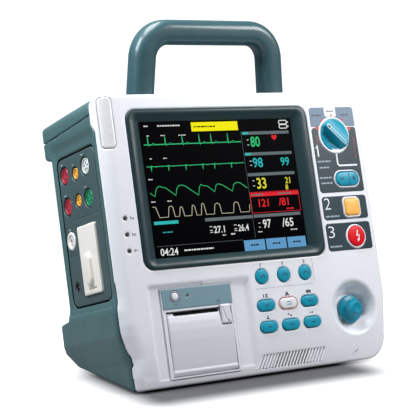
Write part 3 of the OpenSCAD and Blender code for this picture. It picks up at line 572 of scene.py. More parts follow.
def split_depth(u):
    """Depth where the white front moulding ends."""
    return np.interp(u, [BOTTOM, -164, -154, -131, -97, -80, 57, 66, TOP],
                     [7.4, 7.3, 6.6, 7.7, 7.9, SPLIT_D, SPLIT_D, 14.5, 14.5])


def outline_field(x, u):
    """Distance to the front outline, whose corners are rounded differently above and below."""
    x, u = np.broadcast_arrays(x, u)
    out = np.empty(x.shape)
    low = u < FLARE_FROM - 4
    for part, radius in ((low & (x < 0), FOOT_LEFT_R), (low & (x >= 0), FOOT_RIGHT_R),
                         (~low, CORNER_R)):
        out[part] = rounded_polygon(x[part], u[part], OUTLINE, radius)
    return out


def case_field(x, d, u, inset=0.0):
    start = edge_start(u)
    run = half_width(u) - start
    edge = ((-x - start) * EDGE_D - d * run) / np.hypot(run, EDGE_D)
    x = np.where(x > 0, x - RIGHT_LIP * (1 - smooth_step(d, 8.0, 10.0)), x)
    lip = ((-154 - u) * 0.13 - d) / math.hypot(0.13, 1)
    outline = outline_field(x, u)
    profile = rounded_polygon(d, u, PROFILE, PROFILE_R)
    f = meet(outline + inset, profile + inset, 3.0)
    f = meet(f, lip + inset, 3.0)
    return meet(f, edge + inset, 2.6)


def axes_3d(xs, ds, us):
    return xs[:, None, None], ds[None, :, None], us[None, None, :]


def steps(*parts):
    """Grid positions with a finer or coarser step in each part: (from, to, step)."""
    out = [grid_axis(a, b, s * COARSE) for a, b, s in parts]
    return np.concatenate([out[0]] + [p[1:] for p in out[1:]])


def span(node, axis):
    lo, hi = lean_box(node)
    return (lo[axis] + hi[axis]) / 2, hi[axis] - lo[axis]


# places and sizes read from the frame
KNOB = lean_middle("mode_knob")
ROCKER = lean_middle("energy_rocker")
CHARGE = lean_middle("charge_button")
SHOCK = lean_middle("shock_button")
NAV = lean_middle("nav_knob")
SOFT = [lean_middle(f"soft_key_{i}") for i in (1, 2, 3)]
HARD = [lean_middle(f"hard_key_{i}") for i in range(1, 7)]
BEZEL_X, BEZEL_W = span("screen_bezel", 0)
BEZEL_U, BEZEL_H = span("screen_bezel", 2)
SCREEN_W, SCREEN_H = 170.4, 127.8
UNIT_LO, UNIT_HI = lean_box("recorder_frame")
LAMP_LO, LAMP_HI = lean_box("alarm_lamp")
LAMP_X = (LAMP_LO[0], LAMP_HI[0])
LAMP_TOP = 87.4
CAP_W, CAP_H = 19.4, 10.2     # long key caps, a little inside their openings
ROCKER_W, ROCKER_H = 27.4, 13.8
CHARGE_W, CHARGE_H = 17.2, 16.6
SHOCK_R, SOFT_R = 10.0, 7.0
KNOB_RING = 18.7
DISH_R, DISH_FLOOR_R, DISH_D = 26.5, 17.0, 12.0
DISH_U = NAV[2] + 1.0
LEAF = [(130, -151.7), (132.4, -167.9), (125.9, -176.3), (120.8, -157.7)]
BAY = (-119.0, -11.0, -177.0, -88.0)
BAY_D = 3.0
UNIT = (-105.0, -29.5, -174.4, -92.0)
LEDS = [(-131.5, u) for u in (-25, -40, -55)]
GRILLE = (28.5, -169.5, 36.5, 6.2)  # middle x, middle u, half width, half height
GRILLE_LEAN = 0.62
LABELS = {"label_setup": (88.0, 143.2, -13.5, 53.0), "label_charge": (88.0, 143.2, -41.0, -17.0),
          "label_shock": (88.0, 143.2, -72.0, -44.0), "label_band": (88.0, 143.2, 53.6, 73.7)}


def ends_field(px, py, ends, r, grow=0.0):
    x0, x1, y0, y1 = ends
    return box_field(px, py, (x0 + x1) / 2, (y0 + y1) / 2, x1 - x0 + 2 * grow,
                     y1 - y0 + 2 * grow, r + grow)


def grille_field(x, u, grow=0.0):
    cx, cu, w, h = GRILLE
    return box_field(x - (u - cu) * GRILLE_LEAN, u, cx, cu, 2 * (w + grow), 2 * (h + grow), 1.5)


def control_field(x, u, grow):
    """Distance to the four therapy controls, grown by their rims."""
    f = np.hypot(x - KNOB[0], u - KNOB[2]) - KNOB_RING - grow
    f = np.minimum(f, box_field(x, u, ROCKER[0], ROCKER[2], ROCKER_W + 4 + 2 * grow,
                                ROCKER_H + 4 + 2 * grow, (ROCKER_H + 4) / 2 + grow))
    f = np.minimum(f, box_field(x, u, CHARGE[0], CHARGE[2], CHARGE_W + 4 + 2 * grow,
                                CHARGE_H + 4 + 2 * grow, 4.5 + grow))
    return np.minimum(f, np.hypot(x - SHOCK[0], u - SHOCK[2]) - SHOCK_R - 2 - grow)


def lamp_field(x, u, grow=0.0):
    """Outline of the alarm lamp."""
    return ends_field(x, u, (LAMP_X[0], LAMP_X[1], LAMP_LO[2], LAMP_TOP), 3.8, grow)


def front_shell():
    xs = steps((-153, 153, 0.95))
    ds = steps((-2, 17, 0.95))
    us = steps((-186, 94, 0.95))
    x, d, u = axes_3d(xs, ds, us)
    f = meet(case_field(x, d, u), d - split_depth(u) + GROOVE, 0.6)
    # navigation dish: a round boss behind, and the cone cut into it
    r = np.hypot(x - NAV[0], u - DISH_U)
    f = np.minimum(f, np.maximum(r - DISH_R - 2.5, np.maximum(-d + 1, d - DISH_D - 2.5)))
    wall = (r - DISH_R + d * (DISH_R - DISH_FLOOR_R) / DISH_D) * 0.78
    f = cut(f, meet(wall, d - DISH_D, 3.0), 1.6)
    f = cut(f, np.hypot(x - NAV[0], u - NAV[2]) - 3.5)
    # recorder bay, with a wider slope on its right side
    slope = np.where(x > -60, 0.36, 0.75)
    bay = ends_field(x, u, (BAY[0], BAY[1] + 3.0, BAY[2], BAY[3]), 4.0)
    f = cut(f, meet(bay + d / slope * 0.75, d - BAY_D, 1.0), 0.8)
    f = cut(f, ends_field(x, u, UNIT, 1.0, 0.25))
    # a small leaf-shaped facet low on the left of the front
    leaf = polygon_field(-x, u, LEAF)
    f = cut(f, np.maximum(leaf, d - np.clip((LEAF[0][1] - u) * 0.13, 0, 2.4)), 0.4)
    # display, keys and therapy controls
    f = cut(f, ends_field(x, u, (BEZEL_X - BEZEL_W / 2, BEZEL_X + BEZEL_W / 2,
                                 BEZEL_U - BEZEL_H / 2, BEZEL_U + BEZEL_H / 2), 10, 0.35), 0.5)
    for k in SOFT:
        f = cut(f, np.hypot(x - k[0], u - k[2]) - SOFT_R - 0.35, 0.5)
    for k in HARD:
        f = cut(f, box_field(x, u, k[0], k[2], CAP_W + 0.8, CAP_H + 0.8, CAP_H / 2 + 0.35), 0.5)
    f = cut(f, np.hypot(x - KNOB[0], u - KNOB[2]) - 14)
    f = cut(f, box_field(x, u, ROCKER[0], ROCKER[2], ROCKER_W + 1.4, ROCKER_H + 1.2, 7.4))
    f = cut(f, box_field(x, u, CHARGE[0], CHARGE[2], CHARGE_W + 1.2, CHARGE_H + 1.2, 3.4))
    f = cut(f, np.hypot(x - SHOCK[0], u - SHOCK[2]) - SHOCK_R - 0.6)
    for lx, lu in LEDS:
        f = cut(f, np.hypot(x - lx, u - lu) - 1.75)
    # alarm lamp seat and speaker grille
    f = cut(f, np.maximum(lamp_field(x, u, 0.3), d - 7.9), 0.3)
    f = cut(f, np.maximum(grille_field(x, u), d - 6.5), 0.6)
    o = field_piece("front_shell", f, xs, ds, us, WHITE, keep=0.04,
                    hidden=lambda v: v[:, 1] > split_depth(v[:, 2]) - GROOVE - 0.25)
    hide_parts("front_housing")
    return o


def joint_plane(d):
    return JOINT_U - JOINT_SLOPE * d


PANEL_ENDS = (19.0, 100.0, -95.0, 47.5)
RECESS_D = float(lean_box("side_panel")[0][0]) + HALF_W   # depth of the side panel's face
SOCKETS = {"red": [(88, 31), (88.5, 1)], "yellow": [(64, 29), (64, 3)], "white": [(42, 32)],
           "green": [(42, 2)]}
CUFF = (88.0, -32.0)
SIGNAL = (88.0, -76.0)
GAS = (34.0, 71.0, -86.5, -21.4)
THERAPY = (60.0, -30.0)
THERAPY_R = 15.0
BATTERY_LO, BATTERY_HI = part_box("battery_2")
INLET = lean_box("mains_inlet")
PORT = lean_box("port_cover")
FAN = lean_middle("fan_frame")


def rear_shell():
    xs = steps((-153, -140, 1.0), (-140, -106, 3.4), (-106, 106, 1.6), (106, 140, 3.4),
               (140, 153, 1.2))
    ds = steps((1, 124, 1.35))
    us = steps((-186, 77, 1.35))
    x, d, u = axes_3d(xs, ds, us)
    inset3 = case_field(x, d, u, WALL)
    b = split_depth(u) + GROOVE
    f = case_field(x, d, u)
    # shallow recess round the left side panel, with long soft slopes
    s = ends_field(d, u, (9.5, 110, -103, 65), 9.0)
    depth = RECESS_D * smooth_step(-s, 0.0, 9.5)
    f = cut(f, np.maximum(x + HALF_W - depth, s), 0.5)
    f = meet(f, b - d, 0.6)
    f = meet(f, u - joint_plane(d) + GROOVE, 0.6)
    f = cut(f, np.maximum(inset3, u - joint_plane(d) - 9))
    # battery bays
    level_y = (d * INWARD[1] + u * -INWARD[2])
    level_z = (d * INWARD[2] + u * INWARD[1])
    z0 = BATTERY_LO[2] / MM - ORIGIN[2] / MM
    z1 = BATTERY_HI[2] / MM - ORIGIN[2] / MM
    block = np.maximum.reduce(np.broadcast_arrays(np.abs(x) - 103, level_z - z1 - 3, 27 - level_y,
                                                  case_field(x, d, u)))
    f = np.minimum(f, np.maximum(block, b - d))
    lo, hi = BATTERY_LO[0] / MM - 0.3, BATTERY_HI[0] / MM + 0.3
    bay = np.maximum(np.maximum(np.abs(np.abs(x) - (lo + hi) / 2) - (hi - lo) / 2, 29.7 - level_y),
                     np.abs(level_z - (z0 + z1) / 2) - (z1 - z0) / 2 - 0.3)
    f = cut(f, bay, 0.8)
    # side panel and right hand connector
    f = cut(f, np.maximum(ends_field(d, u, PANEL_ENDS, 8.0, 0.9), x + 100), 0.5)
    f = cut(f, np.maximum(np.hypot(d - THERAPY[0], u - THERAPY[1]) - THERAPY_R - 0.2, 100 - x))
    # rear openings
    deep = 90 - d
    for lo3, hi3, r in ((INLET[0], INLET[1], 2.0), (PORT[0], PORT[1], 1.0)):
        ends = (lo3[0], hi3[0], lo3[2], hi3[2])
        grow = -2.2 if r == 2.0 else 0.0
        f = cut(f, np.maximum(ends_field(x, u, ends, r, grow), deep))
    for i in range(-4, 5):
        half = math.sqrt(26 ** 2 - (6 * i) ** 2)
        f = cut(f, np.maximum(box_field(x, u, FAN[0] + 6 * i, FAN[2], 2.8, 2 * half, 1.3), deep))
    for sx, su in SCREWS:
        f = cut(f, np.maximum(np.hypot(x - sx, u - su) - 3.7, CASE_D - 3.2 - d), 0.5)
    f = cut(f, np.maximum(np.hypot(x - EARTH[0], u - EARTH[2]) - 6.6, CASE_D - 1.5 - d), 0.4)
    o = field_piece("rear_shell", f, xs, ds, us, TEAL, keep=0.08, hidden=inner_side)
    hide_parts("rear_housing")
    return o


EARTH = lean_middle("earth_pin")
SCREWS = [(-134, 44), (134, 44), (-134, -60), (134, -60), (0, 40), (0, -90)]


def inner_side(v):
    """Points on the inside walls of the case."""
    f = case_field(v[:, 0][:, None, None], v[:, 1][:, None, None], v[:, 2][:, None, None])
    return f.ravel() < -WALL + 0.6


HANDLE_Y = float(middle("handle")[1]) / MM


def top_shell():
    xs = steps((-153, -138, 1.0), (-138, -94, 3.2), (-94, -58, 1.5), (-58, 58, 3.2), (58, 94, 1.5),
               (94, 138, 3.2), (138, 153, 1.0))
    ds = steps((12, 124, 1.2))
    us = steps((60, 94, 1.0))
    x, d, u = axes_3d(xs, ds, us)
    f = case_field(x, d, u)
    f = meet(f, joint_plane(d) + GROOVE - u, 0.7)
    f = meet(f, split_depth(u) + GROOVE - d, 0.6)
    f = cut(f, case_field(x, d, u, WALL))
    level_y = d * INWARD[1] + u * -INWARD[2]
    leg = box_field(np.abs(x), level_y, 76.6, HANDLE_Y - ORIGIN[1] / MM, 25.6, 25.6, 9.5)
    f = cut(f, leg, 1.0)
    o = field_piece("top_shell", f, xs, ds, us, TEAL, keep=0.1, hidden=inner_side)
    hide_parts("top_cover")
    return o


def handle_piece():
    """Carrying handle: legs that lean in slightly, round bends and a straight bar."""
    half_low, half_high, z_low, z_bend, bend = 76.4, 72.8, 246.0, 296.5, 26.0
    z_top = float(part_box("handle")[1][2]) / MM - 12.2
    path = [(half_low, z_low)]
    for i in range(1, 8):
        t = i / 8
        path.append((half_low + (half_high - half_low) * t, z_low + (z_bend - z_low) * t))
    for i in range(19):
        a = math.radians(90 * i / 18)
        path.append((half_high - bend + bend * math.cos(a), z_bend + (z_top - z_bend) * math.sin(a)))
    for i in range(1, 8):
        path.append(((half_high - bend) * (1 - i / 8), z_top))
    right = path
    path = right + [(0.0, z_top)] + [(-x, z) for x, z in right[::-1]]
    p = np.array(path)
    tangent = np.gradient(p, axis=0)
    tangent /= np.linalg.norm(tangent, axis=1)[:, None]
    normal = np.stack([tangent[:, 1], -tangent[:, 0]], -1)
    section = rounded_loop(24.4, 25.4, 9.4, 9)
    rings = []
    for c, n in zip(p, normal):
        rings.append([[c[0] + s[0] * n[0], HANDLE_Y + s[1], c[1] + s[0] * n[1]] for s in section])
    v = np.array(rings).reshape(-1, 3) * MM
    m, k = len(path), len(section)
    faces = [(i * k + j, i * k + (j + 1) % k, (i + 1) * k + (j + 1) % k, (i + 1) * k + j)
             for i in range(m - 1) for j in range(k)]
    faces += [tuple(range(k))[::-1], tuple(range((m - 1) * k, m * k))]
    o = new_piece("handle_grip", v, faces, TEAL_SOFT, row=True)
    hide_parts("handle")


front_shell()
rear_shell()
top_shell()
handle_piece()


# ---------------------------------------------------------------- display

def bezel_piece():
    outer = rounded_loop(BEZEL_W, BEZEL_H, 10) + [BEZEL_X, BEZEL_U]
    inner = rounded_loop(SCREEN_W, SCREEN_H, 1.2) + [SCREEN_X, 0]
    section = [(0, 7.5), (0, 0.0), (0.015, -0.7), (0.07, -1.25), (0.16, -1.4), (0.28, -1.35),
               (0.42, -1.0), (0.6, -0.1), (0.85, 1.6), (0.96, 2.5), (1.0, 2.9), (1.0, 3.15),
               (0.9, 3.15), (0.7, 7.5)]
    o = ring_piece("display_frame", outer, inner, section, (0, 0, 0), BEZEL)
    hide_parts("screen_bezel")


bezel_piece()
PANE_D = float(lean_box("display_window")[0][1])


def line(points, width):
    """The two long sides of a thin strip along (x, u) points."""
    p = np.array(points, float)
    t = np.gradient(p, axis=0)
    t /= np.maximum(np.linalg.norm(t, axis=1), 1e-9)[:, None]
    n = np.stack([-t[:, 1], t[:, 0]], -1) * width / 2
    return p + n, p - n


def strip_mesh(strips, name, material, surface, thick=0.12, body="case"):
    """Many strips as one closed piece standing a little above the surface depth."""
    verts, faces = [], []
    for a, b in strips:
        k = len(a)
        base = len(verts)
        for side, d in ((a, surface - thick / 2), (b, surface - thick / 2),
                        (b, surface + thick / 2), (a, surface + thick / 2)):
            verts += [(q[0], d, q[1]) for q in side]
        for i in range(k - 1):
            for s in range(4):
                s2 = (s + 1) % 4
                faces.append((base + s * k + i, base + s * k + i + 1, base + s2 * k + i + 1,
                              base + s2 * k + i))
        faces.append((base, base + k, base + 2 * k, base + 3 * k))
        faces.append((base + 4 * k - 1, base + 3 * k - 1, base + 2 * k - 1, base + k - 1))
    return new_piece(name, verts, faces, material, body, smooth=False)


def bar(x0, x1, u, height):
    return line([(x0, u), (x1, u)], height)


def dashes(x0, x1, u, height, lengths=(2.2, 1.4, 2.8, 1.8)):
    """A row of short strips in place of a line of small print."""
    out, x, i = [], x0, 0
    while x < x1 - 0.6:
        w = min(lengths[i % len(lengths)], x1 - x)
        out.append(bar(x, x + w, u, height))
        x += w + 0.7
        i += 1
    return out


def figures(name, text, x0, x1, u0, u1, material, depth, body="case", thick=0.10, bold=0.0):
    """Plain numerals stretched into a box."""
    curve = bpy.data.curves.new(name, "FONT")
    curve.body = text
    curve.extrude = 0.02
    curve.offset = bold
    curve.resolution_u = 3
    o = bpy.data.objects.new(name + "_curve", curve)
    bpy.context.scene.collection.objects.link(o)
    bpy.context.view_layer.update()
    mesh = bpy.data.meshes.new_from_object(o.evaluated_get(bpy.context.evaluated_depsgraph_get()))
    bpy.data.objects.remove(o)
    co = np.array([v.co for v in mesh.vertices], float)
    lo, hi = co.min(0), co.max(0)
    t = (co - lo) / (hi - lo)
    pts = np.column_stack([x0 + t[:, 0] * (x1 - x0), depth + (0.5 - t[:, 2]) * thick,
                           u0 + t[:, 1] * (u1 - u0)])
    mesh.vertices.foreach_set("co", to_row(pts).ravel())
    mesh.update()
    mesh.materials.clear()
    mesh.materials.append(material)
    mesh.name = name
    piece = bpy.data.objects.new(name, mesh)
    bpy.context.scene.collection.objects.link(piece)
    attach(piece, body)
    return piece


def sampled(points, per=6):
    """Points along straight runs, so that a strip bends evenly."""
    out = []
    for (x0, u0), (x1, u1) in zip(points, points[1:]):
        for i in range(per):
            out.append((x0 + (x1 - x0) * i / per, u0 + (u1 - u0) * i / per))
    return out + [points[-1]]


def display_content():
    at = PANE_D - 0.08
    beats = [-96.4, -78.0, -59.4, -40.8, -27.8, -9.0]

    def ecg(base, spike, dip, wave):
        pts = [(-101, base)]
        for b in beats:
            pts += [(b - 1.6, base), (b - 1.1, base + dip), (b - 0.5, base), (b, base + spike),
                    (b + 0.6, base - 0.2 * spike), (b + 1.2, base)]
            if b < beats[-1] + 1:
                pts += [(b + 3.6, base), (b + 5.4, base + wave), (b + 7.4, base)]
        return pts + [(5.6, base)]

    strip_mesh([line(ecg(42.4, 8.6, 0.5, 1.3), 0.42), line(ecg(21.6, -4.6, 0.3, -0.5), 0.5),
                bar(-101, 5.6, 42.0, 0.5), bar(-101, 5.6, 21.5, 0.5)],
               "trace_ecg", LIT_GREEN, at)
    pleth = [(-101, -3), (-96.4, -6.6), (-94.6, -0.6), (-93, 1.6), (-90.6, 3), (-87.4, 1.8),
             (-85, 1.6), (-80, -1.8), (-74.2, -6.6), (-72.4, -0.4), (-70, 2.6), (-66, 3),
             (-62, 1.4), (-58, -1.6), (-49.6, -7.4), (-47.8, 0), (-46, 2.6), (-43, 1.4),
             (-39, 0.8), (-31.4, -5), (-29.4, 1), (-27, 2.4), (-22.6, 1.2), (-18, -1.6),
             (-11.8, -5.4), (-9.6, 0.8), (-7, 2.6), (-2.6, 2.4), (1, 0), (5.2, -3.2)]
    strip_mesh([line(pleth, 0.6)], "trace_pulse", LIT_GREEN, at)
    low, high = -26.2, -16.2
    gas = [(-100.5, high), (-97.4, high), (-94.2, low)]
    for centre, half, top in ((-81.4, 3.6, high), (-70.4, 2.8, high - 1.2), (-57.2, 2.8, high - 0.4),
                              (-46.8, 2.8, high + 0.6), (-31, 4.2, high), (-9.8, 4, high)):
        gas += [(centre - half, low), (centre - half + 1.6, top - 1.2), (centre - 0.8, top),
                (centre + 0.8, top), (centre + half - 1.4, top - 1.2), (centre + half, low)]
    strip_mesh([line(gas + [(4.2, low), (5.4, high - 3)], 0.5)], "trace_gas", LIT_CREAM, at)
    strip_mesh([bar(-47.8, 4.2, 58.0, 8.8)], "alarm_bar", LIT_ALARM, at)
    strip_mesh(dashes(-45.2, -21.4, 58.0, 1.3, (2.0, 1.0, 3.0, 4.2)), "alarm_bar_print", LIT_INK,
               at - 0.08)
    grey = [bar(8, 62.6, u, 3.0) for u in (50.2, 29.6, 9.4, -31.0)] + [bar(-46.4, 6.8, -31.2, 3.0)]
    strip_mesh(grey, "header_strips", LIT_GREY, at)
    strip_mesh([bar(-101, -75.4, -31.2, 3.0)] + [bar(8, 15, u, 2.2) for u in (50.2, 29.6)] +
               dashes(-93, -82.6, -40.2, 0.9), "header_teal", LIT_TEAL, at - 0.03)
    small = dashes(-98.8, -93.4, 59.8, 1.1) + dashes(-84.4, -59.2, 59.8, 1.2) + \
        dashes(-101, -96, 9.6, 0.9) + dashes(-101, -96, -11.4, 0.9) + \
        dashes(-84, -78.4, -11.4, 0.9) + dashes(-73, -41.2, -58.2, 1.3, (3.4, 3.0, 1.6, 2.6)) + \
        dashes(-29.4, -25.8, -46.8, 0.9) + dashes(-20, -14.8, -46.4, 1.4) + \
        dashes(11, 16, -46.4, 0.9) + dashes(48.6, 56.6, -46.4, 0.9) + \
        dashes(-96.8, -94, 50.6, 0.8) + dashes(-82, -77, 50.6, 0.8) + \
        dashes(-63, -54, 50.4, 0.8) + dashes(-96.8, -94, 29, 0.8) + dashes(-82.4, -78.6, 29, 0.8) + \
        [bar(12.4, 14.4, u, 0.6) for u in (43.6, 38.6, 22.6, 18.6, 3.4, -1.6, -38, -42)] + \
        [bar(-42.6, -39.6, u, 0.6) for u in (-38, -41.6, -43.4)] + \
        [bar(-15.6, -12.6, u, 0.6) for u in (-38, -41.6, -43.4)]
    strip_mesh(small, "small_print", LIT_PALE, at - 0.06)
    strip_mesh([bar(-101, -8, -52.8, 0.25), line([(6.8, 52), (6.8, -52)], 0.2)], "screen_rules",
               LIT_GREY, at)
    box = [line(p, 0.4) for p in ([(7.4, -7.8), (7.4, -28.2)], [(63.8, -7.8), (63.8, -28.2)],
                                  [(7.4, -28.0), (63.8, -28.0)], [(7.4, -8.0), (63.8, -8.0)])]
    strip_mesh(box + [bar(7.6, 63.6, -10.4, 3.6)] + dashes(47.6, 56, -25.6, 1.6), "pressure_box",
               LIT_RED, at)
    strip_mesh([bar(9.5, 22, -10.4, 1.6), bar(40, 55, -10.4, 1.4)], "pressure_box_print", LIT_GREY,
               at - 0.08)
    for i, (x0, x1) in enumerate(((-7.0, 16.6), (18.2, 41.4), (43.0, 64.4))):
        strip_mesh([bar(x0, x1, -58.8, 10.4)], f"soft_label_{i + 1}", LIT_BLUE, at)
        mid = (x0 + x1) / 2
        strip_mesh(dashes(mid - 4.4, mid + 4.6, -58.6, 1.5, (2.4, 2.0, 3.0)),
                   f"soft_label_{i + 1}_print", LIT_INK, at - 0.08)
    numbers = [("80", 16.4, 27.2, 36.6, 46.8, LIT_GREEN), ("98", 15.8, 27.2, 16.2, 25.8, LIT_TEAL),
               ("99", 48.2, 58.2, 16.8, 25.2, LIT_TEAL), ("33", 17, 27.8, -4.8, 6, LIT_YELLOW),
               ("21", 50.4, 56.2, -0.8, 5.4, LIT_YELLOW), ("8", 49.6, 52.8, -7, -2, LIT_YELLOW),
               ("121", 16, 27.4, -22.4, -14.8, LIT_RED), ("/81", 39.2, 50.8, -22.4, -14.8, LIT_RED),
               ("27.1", -38.2, -26.2, -44.4, -37.8, LIT_PALE),
               ("26.4", -11.2, 0.8, -44.4, -37.8, LIT_PALE),
               ("97", 17.4, 26.8, -43.2, -34.8, LIT_PALE), ("/65", 39.8, 53, -43.2, -34.8, LIT_PALE),
               ("04:24", -98.2, -79.6, -61.8, -55, LIT_PALE)]
    for i, (text, x0, x1, u0, u1, m) in enumerate(numbers):
        figures(f"reading_{i + 1:02d}", text, x0, x1, u0, u1, m, at, bold=0.012)
    a = np.linspace(0, 2 * math.pi, 40)
    heart = np.stack([16 * np.sin(a) ** 3,
                      13 * np.cos(a) - 5 * np.cos(2 * a) - 2 * np.cos(3 * a) - np.cos(4 * a)], -1)
    heart = heart[:-1][::-1] * 0.2
    cap_piece("pulse_heart", lambda i: heart * (1 - i), [(0, 0.06), (0, 0)], (44.6, at, 45.4), LIT_RED)
    icon = [line(sampled(list(p) + [p[0]], 3), 0.9) for p in (
        rounded_loop(9, 3.6, 1.2, 3) + [57, 60.2], rounded_loop(9, 3.6, 1.2, 3) + [57, 56.0])]
    strip_mesh(icon + [bar(62.2, 63.4, 60.2, 1.6), bar(62.2, 63.4, 56.0, 1.6)], "battery_symbol",
               LIT_PALE, at)


display_content()


# ---------------------------------------------------------------- controls on the front

def disc(r, n=64):
    return lambda inset: circle_loop(max(r - inset, 0.05), n)


def pad(w, h, r, steps_r=8):
    return lambda inset: rounded_loop(w - 2 * inset, h - 2 * inset, r - inset, steps_r)


def rim(name, outer, inner, at, height, material, body="case", axes=FRONT_AXES, base=0.8):
    """A raised rim with a rounded top between two outlines."""
    section = [(0, base), (0, -height * 0.45), (0.12, -height * 0.8), (0.3, -height),
               (0.7, -height), (0.88, -height * 0.8), (1, -height * 0.45), (1, base)]
    return ring_piece(name, outer, inner, section, at, material, body, axes)


def labels():
    for name, ends in LABELS.items():
        step = 0.75
        x1 = ends[1] + 1.6
        xs = steps((ends[0] - 2, x1, step))
        ds = steps((-1.6, 5.0, step))
        us = steps((ends[2] - 2, ends[3] + 2, step))
        x, d, u = axes_3d(xs, ds, us)
        shape = ends_field(x, u, ends, 3.6)
        if name == "label_band":    # square where it meets the label below
            shape = np.minimum(shape, ends_field(x, u, (ends[0], ends[1], ends[2], ends[2] + 8), 0.2))
        shell = np.maximum(case_field(x, d, u) - 0.22, -case_field(x, d, u, 2.0))
        f = meet(shell, shape, 0.2)
        f = cut(f, control_field(x, u, 0.05))
        o = field_piece(name, f, xs, ds, us, BAND if name == "label_band" else LABEL)
        if name == "label_setup":
            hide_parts("control_label")


labels()
FACE = -0.27  # just above the labels


def label_print():
    one = [line([(92.2, 35.2), (92.2, 23.4)], 1.5), line([(89.8, 32.2), (91.0, 32.8), (92.2, 34.8)], 1.0)]
    strip_mesh(one, "label_digit_1", PRINT, FACE, 0.12)
    figures("label_digit_2", "2", 90.6, 98.0, -30.2, -18.8, PRINT, FACE, bold=-0.012)
    figures("label_digit_3", "3", 90.6, 98.0, -58.6, -47.0, PRINT, FACE, bold=-0.012)
    grey = dashes(90, 106, 18.4, 1.5, (4.4, 3.2, 5.0)) + dashes(91.4, 103, 12.2, 1.5, (3.4, 4.6)) + \
        dashes(89.6, 104.6, 1.9, 1.5, (4.2, 5.6)) + dashes(91, 104.4, -3.6, 1.5, (5.0, 3.6)) + \
        dashes(90.4, 107, -37.2, 1.6, (5.2, 4.0, 3.4)) + dashes(90.4, 104.6, -67.4, 1.6, (4.6, 5.2))
    strip_mesh(grey, "label_small_print", PRINT_DIM, FACE, 0.1)
    dark = dashes(90.6, 102.4, 65.4, 1.5, (3.8, 4.6)) + dashes(127, 137.4, 65.4, 1.5, (4.6, 3.8))
    strip_mesh(dark, "band_small_print", PRINT_DARK, FACE, 0.1)
    tag = rounded_loop(14.4, 9.6, 1.2, 4)
    cap_piece("band_tag", lambda i: tag * (1 - i / 8), [(0, 0.1), (0.1, 0)], (KNOB[0] - 0.8, FACE, 68.4),
              PRINT)
    strip_mesh(dashes(109.6, 118, 69.4, 1.2, (2.2, 2.6)), "band_tag_print", PRINT_DARK, FACE - 0.1, 0.1)
    # white guide line from the mode knob towards the shock column
    a = np.linspace(0, math.pi / 2, 6)
    curve = [(KNOB[0] - 0.2, KNOB[2] - KNOB_RING + 0.3), (KNOB[0] - 0.2, 17.2)]
    curve += [(KNOB[0] - 0.2 + 2.6 * (1 - math.cos(t)), 16.2 - 2.6 * math.sin(t)) for t in a]
    strip_mesh([line(curve + [(138.3, 13.6)], 1.7)], "guide_line", PRINT, FACE, 0.12)
    # coloured ticks round the knob
    red, orange = [], []
    for t in (158, 130, 90, 50, 18):
        c, s = math.cos(math.radians(t)), math.sin(math.radians(t))
        wide = 3.4 if t in (158, 18) else 2.4
        r0, r1 = KNOB_RING + 0.6, KNOB_RING + wide + 0.4
        (orange if t == 90 else red).append(
            line([(KNOB[0] + r0 * c, KNOB[2] + r0 * s), (KNOB[0] + r1 * c, KNOB[2] + r1 * s)], wide))
    strip_mesh(orange, "knob_tick_top", PRINT_ORANGE, FACE, 0.1)
    red += [bar(92.6, 94.0, u, 1.1) for u in (43.4, 40.6, 37.8)]
    red += [bar(138.0, 138.8, u, 1.4) for u in (41, 38.2, 35.4, 32.6, 29.8, 27, 24.2, 21.4)]
    strip_mesh(red, "knob_ticks", PRINT_RED, FACE, 0.1)


label_print()


def mode_knob():
    """A round knob with a grip bar to the upper left, a swelling on one side and a scoop on the other."""
    front = float(lean_box("mode_knob")[0][1])
    xs = steps((-17.5, 17.5, 0.5))
    ds = steps((front - 1, 2.4, 0.5))
    x, d, u = axes_3d(xs, ds, xs)
    c = math.cos(math.radians(45))
    across = (x + u) * c
    along = (u - x) * c
    half = 2.7
    swell = -1.8 - 3.0 * (1 - np.clip((across - half) / 13, 0, 1) ** 2)
    bowl = np.clip(1 - ((across + 7.6) / 7.4) ** 2 - ((along + 1.5) / 14.5) ** 2, 0, 1)
    scoop = -1.8 + 3.6 * np.sqrt(bowl)
    face = np.where(across > 0, swell, scoop)
    wall = smooth_step(half + 1.0 - np.abs(across), 0.0, 1.6)
    face = face * (1 - wall) + front * wall
    f = meet(np.hypot(x, u) - 15.9, np.maximum((face - d) * 0.7, d - 2.0), 0.6)
    knob = field_piece("mode_knob_cap", f, xs + KNOB[0], ds, xs + KNOB[2], CYAN, "mode_knob")
    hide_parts("mode_knob")
    spin = np.array([[-c, c], [c, c]])
    top = rounded_loop(28.6, 4.6, 1.6, 6) @ spin
    cap_piece("mode_knob_insert", lambda i: top * (1 - i / 20), [(0, 0.5), (0, -0.02), (0.2, -0.14)],
              (KNOB[0], front, KNOB[2]), KNOB_TOP, "mode_knob")
    groove = rounded_loop(20, 1.5, 0.7, 6) @ spin
    cap_piece("mode_knob_groove", lambda i: groove * (1 - i / 20), [(0, 0.3), (0, -0.04)],
              (KNOB[0] + 1.6 * c, front - 0.14, KNOB[2] - 1.6 * c), CYAN, "mode_knob")
    dot = rounded_loop(3.4, 2.0, 0.95, 6) @ spin
    cap_piece("mode_knob_dot", lambda i: dot * (1 - i / 4), [(0, 0.3), (0, -0.1), (0.2, -0.16)],
              (KNOB[0] - 11.4 * c, front - 0.12, KNOB[2] + 11.4 * c), KNOB_MARK, "mode_knob")


